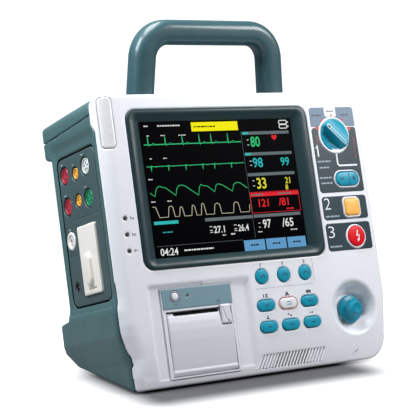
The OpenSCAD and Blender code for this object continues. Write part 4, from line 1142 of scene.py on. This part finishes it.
def therapy_controls():
    base = 0.9
    rim("mode_rim", circle_loop(KNOB_RING, 72), circle_loop(16.4, 72), (KNOB[0], 0, KNOB[2]), 1.1, WHITE,
        base=base)
    rim("rocker_rim", rounded_loop(ROCKER_W + 4, ROCKER_H + 4, 9, 12),
        rounded_loop(ROCKER_W + 1.5, ROCKER_H + 1.2, 7.4, 12), (ROCKER[0], 0, ROCKER[2]), 1.3, WHITE,
        base=base)
    rim("charge_rim", rounded_loop(CHARGE_W + 4, CHARGE_H + 4, 4.6, 10),
        rounded_loop(CHARGE_W + 0.6, CHARGE_H + 0.6, 3.1, 10), (CHARGE[0], 0, CHARGE[2]), 1.3, WHITE,
        base=base)
    rim("shock_rim", circle_loop(SHOCK_R + 2, 64), circle_loop(SHOCK_R + 0.3, 64),
        (SHOCK[0], 0, SHOCK[2]), 1.3, WHITE, base=base)
    mode_knob()
    # energy rocker with a crowned middle
    cap = cap_piece("energy_rocker_cap", pad(ROCKER_W, ROCKER_H, ROCKER_H / 2, 12),
                    rounded_edge(-2.3, 4.2, 1.4), (ROCKER[0], 0, ROCKER[2]), CYAN, "energy_rocker",
                    crown=0.5)
    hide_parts("energy_rocker")
    x0, u0 = ROCKER[0], ROCKER[2]
    strip_mesh([bar(x0 - 9.4, x0 - 4.8, u0, 1.0), bar(x0 + 5.0, x0 + 9.8, u0, 1.0),
                line([(x0 + 7.4, u0 + 2.4), (x0 + 7.4, u0 - 2.4)], 1.0),
                line([(x0 + 1.6, u0 + 5.4), (x0 + 1.6, u0 - 5.4)], 0.5)],
               "energy_rocker_marks", CYAN_DARK, -2.86, 0.1, "energy_rocker")
    cap = cap_piece("charge_cap", pad(CHARGE_W, CHARGE_H, 2.9), rounded_edge(-2.6, 4.4, 1.1),
                    (CHARGE[0], 0, CHARGE[2]), ORANGE, "charge_button", crown=0.4)
    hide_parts("charge_button")
    cap = cap_piece("shock_cap", disc(SHOCK_R), rounded_edge(-2.6, 4.4, 1.2),
                    (SHOCK[0], 0, SHOCK[2]), RED, "shock_button", crown=0.5)
    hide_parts("shock_button")
    sx, su = SHOCK[0], SHOCK[2]
    strip_mesh([line([(sx + 0.9, su + 5.8), (sx - 0.5, su + 0.3)], 1.3),
                line([(sx - 1.0, su + 0.1), (sx + 2.9, su + 1.0)], 1.0),
                line([(sx + 2.3, su + 1.2), (sx + 1.1, su - 3.8)], 1.0)],
               "shock_bolt", PRINT, -3.13, 0.1, "shock_button")
    head = np.array([(-1.5, 1.1), (1.9, 0.8), (-0.3, -1.9)])
    cap_piece("shock_bolt_head", lambda i: head * (1 - i / 4), [(0, 0.3), (0, 0), (0.1, -0.06)],
              (sx + 0.6, -3.1, su - 4.2), PRINT, "shock_button")


therapy_controls()


def keys():
    for i, k in enumerate(SOFT):
        body = f"soft_key_{i + 1}"
        cap = cap_piece(f"{body}_cap", disc(SOFT_R, 56), rounded_edge(-1.5, 3.6, 1.3), (k[0], 0, k[2]),
                        CYAN, body, crown=0.35)
        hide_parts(body)
        arrow = [(k[0] - 3.1, k[2] - 1.3), (k[0], k[2] + 1.5), (k[0] + 3.1, k[2] - 1.3)]
        strip_mesh([line(sampled(arrow, 4), 0.95)], f"{body}_arrow", CYAN_DARK, -1.84, 0.1, body)
    marks = {0: [(0, 0, 4.6, 1.0)], 1: [(0, 1.2, 5.4, 0.8), (0, -1.2, 5.4, 0.8)],
             2: [(-1.2, 0, 2.6, 1.2), (1.6, 0, 1.6, 1.6)], 3: [(0, 0, 4.2, 1.0)],
             4: [(-1.4, 0, 2.0, 1.3), (1.4, 0, 2.0, 1.3)], 5: [(0, 0, 3.6, 1.2)]}
    for i, k in enumerate(HARD):
        body = f"hard_key_{i + 1}"
        cap = cap_piece(f"{body}_cap", pad(CAP_W, CAP_H, CAP_H / 2, 12), rounded_edge(-1.5, 3.6, 1.3),
                        (k[0], 0, k[2]), KEY_WHITE if i == 1 else CYAN, body, crown=0.3)
        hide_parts(body)
        strip_mesh([bar(k[0] + a - w / 2, k[0] + a + w / 2, k[2] + b, h) for a, b, w, h in marks[i]],
                   f"{body}_marks", CYAN if i == 1 else CYAN_DARK, -1.8, 0.1, body)
    k = HARD[1]
    ring_piece("pause_outline", rounded_loop(CAP_W + 3.0, CAP_H + 3.0, 6.5, 12),
               rounded_loop(CAP_W + 1.4, CAP_H + 1.4, 5.8, 12), [(0, 0.2), (0, -0.12), (1, -0.12), (1, 0.2)],
               (k[0], 0, k[2]), PINK)


keys()


def front_print():
    """Small generic symbols printed on the white front: no words."""
    out = []
    for i, k in enumerate(SOFT):
        u = k[2] + 10.9
        out += [line([(k[0] - 0.3, u + 1.5), (k[0] - 0.3, u - 1.5)], 0.8)]
        out += [bar(k[0] - 1.0 + 0.5 * j, k[0] + 1.0, u + 1.3 - 1.3 * j, 0.5) for j in range(i + 1)]
    tops = [k[2] + 9.2 for k in HARD]
    x = [k[0] for k in HARD]
    out += [bar(x[0] - 2.2, x[0] - 1.2, tops[0], 3.6), bar(x[0] + 0.2, x[0] + 3.2, tops[0] + 1.2, 0.9),
            bar(x[0] + 0.2, x[0] + 3.2, tops[0] - 1.2, 0.9), bar(x[0] + 1.2, x[0] + 2.2, tops[0], 2.0),
            bar(x[1] - 2.6, x[1] + 2.6, tops[1] - 1.3, 1.0), bar(x[1] - 1.4, x[1] + 1.4, tops[1] + 0.4, 2.2),
            bar(x[2] - 2.8, x[2] + 2.8, tops[2], 2.8), bar(x[3] - 0.6, x[3] + 0.6, tops[3], 3.2),
            bar(x[3] - 1.6, x[3] + 1.6, tops[3] - 1.2, 1.0), bar(x[4] - 2.4, x[4] - 0.2, tops[4] + 0.7, 1.4),
            bar(x[4] + 0.4, x[4] + 2.4, tops[4] - 0.7, 1.4), bar(x[5] - 2.0, x[5] - 0.6, tops[5], 1.0),
            bar(x[5] + 0.4, x[5] + 2.0, tops[5], 1.6)]
    for i, (lx, lu) in enumerate(LEDS):
        c = lx + 7.0
        out.append(line([(c - 1.6, lu - 1.4), (c - 1.6, lu + 1.4)], 0.6))
        out.append(bar(c - 1.6, c + 1.8, lu + 0.2 * i, 0.6))
        if i < 2:
            out.append(bar(c - 0.2, c + 1.8, lu - 1.2, 0.6))
    out += [line([(102.4, -170.6), (103.0, -172.4)], 0.8), bar(104.6, 106.0, -170.6, 1.0)]
    strip_mesh(out, "front_symbols", PRINT_DARK, -0.03, 0.12)
    soft = SOFT[0][0] - 11, SOFT[2][0] + 10, SOFT[0][2] - 11.4, SOFT[0][2] + 13.6
    rule = [line(sampled([(soft[0] + 2, soft[2]), (soft[1] - 1.6, soft[2])], 6), 0.35),
            line([(soft[1], soft[2] + 1.6), (soft[1], soft[3])], 0.35)]
    strip_mesh(rule, "front_rules", PRINT_DIM, -0.02, 0.08)


front_print()


def lathe(profile, n=64):
    """Rings for a turned form: profile is (radius, depth) from the front to the back."""
    rings = [(circle_loop(max(r, 0.05), n), d) for r, d in profile]
    verts, faces = loft(rings[::-1], True, True)
    return verts, flip_faces(faces)


def nav_piece():
    prof = [(0.6, -3.3), (3.8, -3.5), (5.4, -3.9), (6.2, -3.7), (6.6, -2.9), (6.9, -0.6), (7.1, 2.6),
            (7.8, 5.0), (9.4, 6.4), (11.6, 6.7), (13.2, 7.2), (13.8, 8.2), (13.8, 9.0), (13.5, 9.9)]
    verts, faces = lathe(prof)
    o = new_piece("nav_knob_cap", turn(verts, FRONT_AXES, (NAV[0], 0, NAV[2])), faces, NAV_CYAN,
                  "nav_knob")
    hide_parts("nav_knob")
    ribs = []
    for i in range(24):
        t = 2 * math.pi * i / 24
        c, s = math.cos(t), math.sin(t)
        ribs.append(line([(NAV[0] + 9.9 * c, NAV[2] + 9.9 * s), (NAV[0] + 12.6 * c, NAV[2] + 12.6 * s)],
                         0.7))
    verts, faces = lathe([(14.6, 11.5), (16.0, 11.6), (16.6, 12.0), (16.6, 12.8)])
    new_piece("nav_seat", turn(verts, FRONT_AXES, (NAV[0], 0, NAV[2])), faces, WHITE, "case")


nav_piece()


def grille():
    cx, cu, w, h = GRILLE
    pitch = 2 * w / GRILLE_BARS
    bars = []
    for i in range(GRILLE_BARS + 1):
        x = cx - w + pitch * i
        a = np.array([(x - 0.9 + h * GRILLE_LEAN, cu + h), (x - 0.9 - h * GRILLE_LEAN, cu - h)])
        bars.append((a, a + [1.8, 0]))
    strip_mesh(bars, "speaker_grille", WHITE, LIP_D + 1.0, 2.0)
    # grey strips behind the outer slots and a black sheet on the pocket's floor are painted shade: the middle
    # slots read black, the outer ones grey
    back = [(bars[0][0], bars[5][1]), (bars[-6][0], bars[-1][1])]
    strip_mesh(back, "grille_end_shade", SHADED_WHITE, LIP_D + 1.7, 0.8)
    strip_mesh([(bars[0][0], bars[20][1])], "grille_backing", BLACK, LIP_D + 4.4, 1.0)


GRILLE_BARS = 20
LIP_D = 1.95  # depth of the front's turned down edge at the grille
grille()


# ---------------------------------------------------------------- recorder

def recorder():
    front = float(UNIT_LO[1])
    xs = steps((UNIT[0] - 1, UNIT[1] + 1, 0.6))
    ds = steps((front - 1.4, front + 2.4, 0.6))
    us = steps((-112.6, UNIT[3] + 1, 0.6))
    x, d, u = axes_3d(xs, ds, us)
    feed, lamp = lean_middle("feed_button"), (-77.6, -100.0)
    f = meet(ends_field(x, u, (UNIT[0] + 0.3, UNIT[1] - 0.3, -111.4, UNIT[3] - 0.3), 0.8),
             np.maximum(front - 0.45 - d, d - front - 1.2), 0.25)
    f = cut(f, np.hypot(x - feed[0], u - feed[2]) - 5.0)
    f = cut(f, np.hypot(x - lamp[0], u - lamp[1]) - 1.5)
    strip = field_piece("recorder_strip", f, xs, ds, us, GREY_STRIP)
    rim("feed_rim", circle_loop(5.0, 40), circle_loop(3.75, 40), (feed[0], front - 0.4, feed[2]), 0.7,
        RING_GREY)
    cap = cap_piece("feed_cap", disc(3.4, 40), rounded_edge(0.0, 9.0, 0.8), (feed[0], 0, feed[2]),
                    WHITE, "feed_button", crown=0.2)
    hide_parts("feed_button")
    strip_mesh([line([(-43.6, -108.4), (-45.4, -105.4), (-47.2, -108.4)], 0.45), bar(-47.2, -43.6, -108.4, 0.5),
                bar(-92.0, -89.6, -107.2, 0.5), bar(-91.2, -90.4, -108.4, 0.5)], "recorder_symbols",
               PRINT_DARK, front - 0.5, 0.1)
    # door: a softly bulged panel with a tear edge, ears for the platen, and a hinge barrel
    xs = steps((-104.5, -30.5, 0.8))
    ds = steps((-1.5, 13.5, 0.62))
    us = steps((-175, -112, 0.8))
    x, d, u = axes_3d(xs, ds, us)
    outer = [(2.8, -172.2), (2.2, -169.4), (1.7, -164), (0.9, -152), (0.2, -140), (0.1, -131), (0.5, -124),
             (1.4, -118.6), (2.6, -115.9), (4.0, -114.7), (5.2, -114.7), (3.2, -118.0), (2.8, -122.0),
             (3.2, -126), (3.5, -168)]
    panel = polygon_field(d, u, outer[::-1])
    f = meet(panel, np.abs(x + 66.95) - 34.5, 1.3)
    f = np.minimum(f, np.maximum(np.hypot(d - 5, u + 169) - 3.55, np.abs(x + 66.95) - 34.5))
    f = np.minimum(f, np.maximum(np.hypot(d - 5, u + 169) - 1.5, np.abs(x + 66.95) - 36.6))
    ear = polygon_field(d, u, [(1.5, -142), (12, -121), (12, -117), (5.5, -114.8), (3.4, -116.4),
                               (3.2, -131)])
    for lo in (-98.8, -37.6):
        f = np.minimum(f, np.maximum(ear, np.abs(x - lo - 1.2) - 1.2))
    f = cut(f, np.maximum.reduce(np.broadcast_arrays(np.abs(x + 39.5) - 5.45, -130.4 - u, d - 3.3)), 0.3)
    f = cut(f, np.maximum.reduce(np.broadcast_arrays(np.abs(x + 70) - 24, -117.6 - u, d - 7)), 0.5)
    f = cut(f, np.maximum(np.hypot(d - 8.5, u + 119.8) - 1.56, np.zeros_like(x)))
    door = field_piece("recorder_door_cover", f, xs, ds, us, DOOR_WHITE, "recorder_door")
    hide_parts("recorder_door")
    # latch: a short lever with a finger groove
    xs = steps((-47, -32, 0.4))
    ds = steps((-2.2, 4.0, 0.4))
    us = steps((-131, -109.6, 0.4))
    x, d, u = axes_3d(xs, ds, us)
    lever = polygon_field(d, u, [(-0.2, -111.3), (-0.9, -112.6), (-1.0, -127.6), (-0.2, -129.4),
                                 (2.3, -129.4), (2.3, -111.3)])
    f = meet(lever, np.abs(x + 39.5) - 4.95, 0.5)
    f = np.minimum(f, np.maximum(np.hypot(d - 1.7, u + 127.4) - 0.8, np.abs(x + 39.5) - 6.2))
    groove = np.hypot((x + 41.6 + (u + 120) * 0.28), (d + 1.5)) - 1.15
    f = cut(f, np.maximum(groove, np.abs(u + 120.5) - 6.4), 0.3)
    latch = field_piece("recorder_latch_lever", f, xs, ds, us, DOOR_WHITE, "recorder_latch")
    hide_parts("recorder_latch")
    arrow = np.array([(-1.1, 0.7), (0, -0.9), (1.1, 0.7)])[::-1]
    cap_piece("latch_arrow", lambda i: arrow * (1 - i), [(0, 0.3), (0, 0.0)], (-38.0, -1.03, -127.0),
              PRINT_DARK, "recorder_latch")


recorder()


# ---------------------------------------------------------------- lamps

def lamps():
    xs = steps((-146, -129, 0.7))
    ds = steps((-2.5, 10, 0.7))
    us = steps((LAMP_LO[2] - 2, 94, 0.7))
    x, d, u = axes_3d(xs, ds, us)
    f = np.maximum(case_field(x, d, u) - 0.3, -case_field(x, d, u, 4.2))
    f = meet(f, np.maximum(lamp_field(x, u), d - 7.6), 0.6)
    o = field_piece("alarm_lens", f, xs, ds, us, FROST)
    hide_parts("alarm_lamp")


lamps()


# ---------------------------------------------------------------- left side

PANEL_X = float(lean_box("cuff_port")[0][0]) + 1.2  # outer plane of the side panel


def side_panel():
    xs = steps((PANEL_X - 1.2, PANEL_X + 5.2, 0.75))
    ds = steps((PANEL_ENDS[0] - 1, PANEL_ENDS[1] + 1, 0.75))
    us = steps((PANEL_ENDS[2] - 1, PANEL_ENDS[3] + 1, 0.75))
    x, d, u = axes_3d(xs, ds, us)
    f = meet(ends_field(d, u, PANEL_ENDS, 8.0, -0.2), np.maximum(PANEL_X - x, x - PANEL_X - 4.0), 0.8)
    for kind, places in SOCKETS.items():
        r = 6.9 if kind == "yellow" else 9.2
        for sd, su in places:
            # a round opening for each socket
            hole = np.hypot(d - sd, u - su) - r
            f = cut(f, hole, 0.5)
    f = cut(f, np.hypot(d - CUFF[0], u - CUFF[1]) - 7.4)
    f = cut(f, np.hypot(d - SIGNAL[0], u - SIGNAL[1]) - 4.9, 0.5)
    f = cut(f, ends_field(d, u, GAS, 1.0, 0.5), 0.3)
    groove = PANEL_X + 0.55 - x
    lines = [np.maximum(np.abs(u + 14) - 0.45, np.abs(d - 49) - 29),
             np.maximum(np.abs(u + 47) - 0.45, np.abs(d - 88) - 10.5),
             np.maximum(np.abs(d - 74.6) - 0.45, np.abs(u + 52) - 38)]
    for g in lines:
        f = cut(f, np.maximum(g, -groove), 0.15)
    o = field_piece("socket_panel", f, xs, ds, us, PANEL)
    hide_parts("side_panel")
    # dark sheet behind the openings: painted shade seen through the gaps round the fittings
    back = rounded_loop(80, 141, 7)
    cap_piece("socket_panel_shade_sheet", lambda i: back * (1 - i / 60), [(0, 5.2), (0, 4.2)],
              (PANEL_X, (PANEL_ENDS[0] + PANEL_ENDS[1]) / 2, (PANEL_ENDS[2] + PANEL_ENDS[3]) / 2), DARK,
              axes=LEFT_AXES)


side_panel()


SOCKET_SINK = 0.9  # the sockets lie this far behind the face of the side panel


def socket(name, kind, places, material, node):
    """Round sockets with a ring, a keyed plug face and contact holes."""
    r = 5.4 if kind == "yellow" else 7.6
    first = None
    for i, (sd, su) in enumerate(places):
        tag = f"{name}_{i + 1}" if len(places) > 1 else name
        at = (PANEL_X + SOCKET_SINK, sd, su)
        n = 48
        shell = ring_piece(tag, circle_loop(r, n), circle_loop(r - 1.3, n),
                           [(0, 4.6), (0, 0.5), (0.2, 0.1), (0.5, 0.0), (0.8, 0.1), (1, 0.5), (1, 4.6)],
                           at, material, axes=LEFT_AXES)
        cap_piece(f"{tag}_core", disc(r - 1.75, n), rounded_edge(0.9, 4.4, 0.5), at, material,
                  axes=LEFT_AXES, crown=0.1)
        # black discs standing for the contact holes: painted shade
        pins = 5 if kind != "yellow" else 3
        verts, faces = [], []
        for p in range(pins):
            t = 2 * math.pi * (p + 0.25) / pins
            c = np.array([math.cos(t), math.sin(t)]) * r * 0.44
            v, fc = loft([(circle_loop(r * 0.12, 12) + c, 0.95), (circle_loop(r * 0.12, 12) + c, 0.72)])
            faces += [tuple(k + sum(len(q) for q in verts) for k in g) for g in fc]
            verts.append(turn(v, LEFT_AXES, at))
        new_piece(f"{tag}_contact_hole_shade", np.concatenate(verts), faces, BLACK)
        # black ring in the gap between socket and panel: painted shade of the recess round the socket
        rim(f"{tag}_collar", circle_loop(r + 1.5, n), circle_loop(r + 0.3, n), (PANEL_X + 2.6, sd, su),
            0.5, BLACK, axes=LEFT_AXES, base=1.6)
        first = first or shell
    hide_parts(node)
    return first


def side_fittings():
    for kind, node, m in (("red", "pressure_sockets", SOCKET_RED),
                          ("yellow", "temperature_sockets", SOCKET_YELLOW),
                          ("white", "oximeter_socket", SOCKET_WHITE),
                          ("green", "ecg_socket", SOCKET_GREEN)):
        o = socket(node[:-1] if node.endswith("s") else node, kind, SOCKETS[kind], m, node)
    # cuff port: a white flange with a nozzle and a red valve face
    at = (PANEL_X, CUFF[0], CUFF[1])
    prof = [(0, 3.4), (0, -0.3), (0.08, -0.9), (0.25, -1.15), (0.6, -1.15), (0.78, -0.7), (1, 0.9), (1, 3.4)]
    o = ring_piece("cuff_flange", circle_loop(8.8, 64), circle_loop(4.2, 64), prof, at, SOCKET_CREAM,
                   axes=LEFT_AXES)
    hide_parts("cuff_port")
    rim("cuff_nozzle", circle_loop(3.6, 40), circle_loop(2.2, 40), at, 0.6, SOCKET_CREAM, axes=LEFT_AXES, base=3.0)
    cap_piece("cuff_valve", disc(2.1, 32), rounded_edge(0.6, 3.2, 0.6), at, SOCKET_RED, axes=LEFT_AXES,
              crown=0.4)
    # output jack
    at = (PANEL_X, SIGNAL[0], SIGNAL[1])
    rim("signal_collar", circle_loop(4.7, 40), circle_loop(3.2, 40), (PANEL_X + 0.5, SIGNAL[0], SIGNAL[1]),
        0.5, BLACK, axes=LEFT_AXES, base=3.0)
    cap_piece("signal_core", disc(1.0, 20), rounded_edge(1.0, 4.0, 0.3), at, STEEL, axes=LEFT_AXES)
    # gas module: a cream block with a raised trap seat and a slot at its foot
    w, h = GAS[1] - GAS[0], GAS[3] - GAS[2]
    front = float(lean_box("gas_module")[0][0])
    mid = ((GAS[0] + GAS[1]) / 2, (GAS[2] + GAS[3]) / 2)
    xs = steps((front - 1.2, front + 9.5, 0.8))
    ds = steps((GAS[0] - 1.5, GAS[1] + 1.5, 0.8))
    us = steps((GAS[2] - 1.5, GAS[3] + 1.5, 0.8))
    x, d, u = axes_3d(xs, ds, us)
    f = meet(box_field(d, u, mid[0], mid[1], w, h, 1.6), np.maximum(front - x, x - front - 8.5), 0.9)
    f = cut(f, np.maximum(box_field(d, u, 53, -63, 13.8, 30.8, 6.9), front + 7.5 - 14 - x + 14), 0.4)
    f = cut(f, np.maximum(box_field(d, u, 52, GAS[2] + 5.2, 17, 1.2, 0.6), x - front - 1.4), 0.1)
    o = field_piece("gas_module_front", f, xs, ds, us, CREAM)
    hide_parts("gas_module")
    trap_front = float(lean_box("water_trap")[0][0])
    o = cap_piece("water_trap_cap", pad(13, 30, 6.5, 12),
                  [(0, 6.5)] + rounded_edge(0.0, 4.6, 1.6), (trap_front, 53, -63), CREAM, "water_trap",
                  LEFT_AXES, crown=0.4)
    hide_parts("water_trap")
    # short printed marks by the sockets
    marks = [(45, 43.5, 5), (66, 37.5, 3), (90, 42.0, 5), (45, 13.0, 5), (90, 12.0, 5), (90, -21.0, 5)]
    verts, faces = [], []
    for md, mu, mw in marks:
        v, fc = loft([(rounded_loop(mw, 1.1, 0.3, 2), 0.15), (rounded_loop(mw, 1.1, 0.3, 2), -0.06)])
        faces += [tuple(k + sum(len(q) for q in verts) for k in g) for g in fc]
        verts.append(turn(v, LEFT_AXES, (PANEL_X, md, mu)))
    new_piece("socket_marks", np.concatenate(verts), faces, PRINT_DIM, smooth=False)


side_fittings()


# ---------------------------------------------------------------- finish of the kept CAD nodes

NODE_LOOKS = {
    DARK: ["mode_switch", "nav_encoder", "speaker", "battery_1", "battery_2", "hv_module", "fan_rotor",
           "therapy_port"],
    BLACK: ["mains_inlet", "fan_frame", "status_lamps"],
    RUBBER: ["feet", "platen_roller"],
    STEEL: ["lcd_panel", "nav_plunger", "print_head", "earth_pin", "nibp_pump", "chassis", "case_screws",
            "hv_capacitor"],
    BOARD: ["keypad_board", "main_board", "power_board"],
    PAPER: ["paper_roll"],
    GLASS: ["display_window"],
    WHITE: ["recorder_frame"],
    TEAL: ["port_cover"],
}
BEVELS = {"battery_1": 0.6, "battery_2": 0.6, "mains_inlet": 0.35, "therapy_port": 0.4, "feet": 0.5,
          "port_cover": 0.3, "recorder_frame": 0.35, "earth_pin": 0.3, "case_screws": 0.15,
          "status_lamps": 0.25, "fan_rotor": 0.2, "fan_frame": 0.3, "print_head": 0.2, "chassis": 0.2}


def finish_nodes():
    for material, names in NODE_LOOKS.items():
        for name in names:
            o = frame["nodes"][name]
            o.data.materials.clear()
            o.data.materials.append(material)
            if name in BEVELS:
                weld = o.modifiers.new("weld", "WELD")
                weld.merge_threshold = 0.00001
                bevel = o.modifiers.new("bevel", "BEVEL")
                bevel.width = BEVELS[name] * MM
                bevel.segments = 2
                bevel.limit_method = "ANGLE"
                bevel.angle_limit = math.radians(35)
                bevel.harden_normals = True


finish_nodes()


# ---------------------------------------------------------------- room

FRONT_Y = float(to_row([0, 0, BOTTOM])[1])
SHADOW_MIDDLE = (-0.022, FRONT_Y + 0.03, 0)
SHADOW_HALF = (0.105, 0.05, 0)


def floor_material():
    """White floor: a painted shadow close to the object (dark colour, no glow), lit up evenly further away."""
    m = bpy.data.materials.new("floor_white")
    m.use_nodes = True
    nodes, links = m.node_tree.nodes, m.node_tree.links
    p = nodes["Principled BSDF"]
    p.inputs["Roughness"].default_value = 0.8
    p.inputs["Specular IOR Level"].default_value = 0.1
    where = nodes.new("ShaderNodeTexCoord").outputs["Object"]

    def vector(operation, a, b):
        n = nodes.new("ShaderNodeVectorMath")
        n.operation = operation
        links.new(a, n.inputs[0])
        if b is not None:
            n.inputs[1].default_value = b
        return n

    out = vector("SUBTRACT", where, SHADOW_MIDDLE).outputs["Vector"]
    out = vector("ABSOLUTE", out, None).outputs["Vector"]
    out = vector("SUBTRACT", out, SHADOW_HALF).outputs["Vector"]
    out = vector("MAXIMUM", out, (0, 0, 0)).outputs["Vector"]
    away = vector("LENGTH", out, None).outputs["Value"]

    def ramp(near, far, high):
        n = nodes.new("ShaderNodeMapRange")
        n.interpolation_type = "SMOOTHSTEP"
        n.inputs["From Min"].default_value = near
        n.inputs["From Max"].default_value = far
        n.inputs["To Max"].default_value = high
        links.new(away, n.inputs["Value"])
        return n

    # the glow seen by the camera is off close to the object and full further out; with the dark colour there, this
    # is a painted shadow
    r = ramp(0.0, 0.06, 1.0)
    painted_shadow_colour = nodes.new("ShaderNodeMix")
    painted_shadow_colour.data_type = "RGBA"
    painted_shadow_colour.inputs["A"].default_value = (0.10, 0.10, 0.11, 1)
    painted_shadow_colour.inputs["B"].default_value = (0.3, 0.3, 0.31, 1)
    links.new(ramp(0.0, 0.035, 1.0).outputs["Result"], painted_shadow_colour.inputs["Factor"])
    links.new(painted_shadow_colour.outputs["Result"], p.inputs["Base Color"])
    path = nodes.new("ShaderNodeLightPath")
    seen = nodes.new("ShaderNodeMath")
    seen.operation = "MULTIPLY"
    links.new(r.outputs["Result"], seen.inputs[0])
    links.new(path.outputs["Is Camera Ray"], seen.inputs[1])
    p.inputs["Emission Color"].default_value = (1, 1, 1, 1)
    links.new(seen.outputs["Value"], p.inputs["Emission Strength"])
    return m


def room():
    bpy.ops.mesh.primitive_plane_add(size=8, location=(0, 0, 0))
    floor = bpy.context.object
    floor.name = "floor"
    floor.data.materials.append(floor_material())
    world = bpy.data.worlds.new("studio")
    world.use_nodes = True
    back = world.node_tree.nodes["Background"]
    back.inputs["Color"].default_value = (0.94, 0.97, 1, 1)
    back.inputs["Strength"].default_value = 0.2
    path = world.node_tree.nodes.new("ShaderNodeLightPath")
    mix = world.node_tree.nodes.new("ShaderNodeMixShader")
    bright = world.node_tree.nodes.new("ShaderNodeBackground")
    bright.inputs["Color"].default_value = (1, 1, 1, 1)
    bright.inputs["Strength"].default_value = 1.15
    links = world.node_tree.links
    links.new(path.outputs["Is Camera Ray"], mix.inputs["Fac"])
    links.new(back.outputs["Background"], mix.inputs[1])
    links.new(bright.outputs["Background"], mix.inputs[2])
    links.new(mix.outputs["Shader"], world.node_tree.nodes["World Output"].inputs["Surface"])
    bpy.context.scene.world = world

    def area(name, at, aim, size, power, tint=(1, 1, 1)):
        light = bpy.data.lights.new(name, "AREA")
        light.shape = "RECTANGLE"
        light.size, light.size_y = size
        light.energy = power
        light.color = tint
        o = bpy.data.objects.new(name, light)
        o.location = at
        o.rotation_euler = (Vector(aim) - Vector(at)).to_track_quat("-Z", "Y").to_euler()
        bpy.context.scene.collection.objects.link(o)

    area("key", (0.50, -0.44, 0.64), (0.04, 0, 0.18), (0.35, 0.35), 5.6)
    area("fill", (-0.50, 0.10, 0.60), (-0.14, 0.05, 0.22), (0.3, 0.3), 4.4, (0.95, 0.99, 1.0))
    area("top", (-0.15, 0.10, 0.80), (0, 0.04, 0.3), (0.5, 0.3), 5.5)
    bpy.context.scene.view_settings.view_transform = "Standard"


def camera():
    cam = bpy.data.cameras.new("camera")
    cam.lens = 114.09
    cam.sensor_width = 36
    o = bpy.data.objects.new("camera", cam)
    eye = Vector((-0.6888, -1.079, 0.2924))
    aim = Vector((0.51855, 0.84810, -0.10873))
    o.location = eye
    o.rotation_euler = aim.to_track_quat("-Z", "Y").to_euler()
    bpy.context.scene.collection.objects.link(o)
    bpy.context.scene.camera = o


room()
camera()
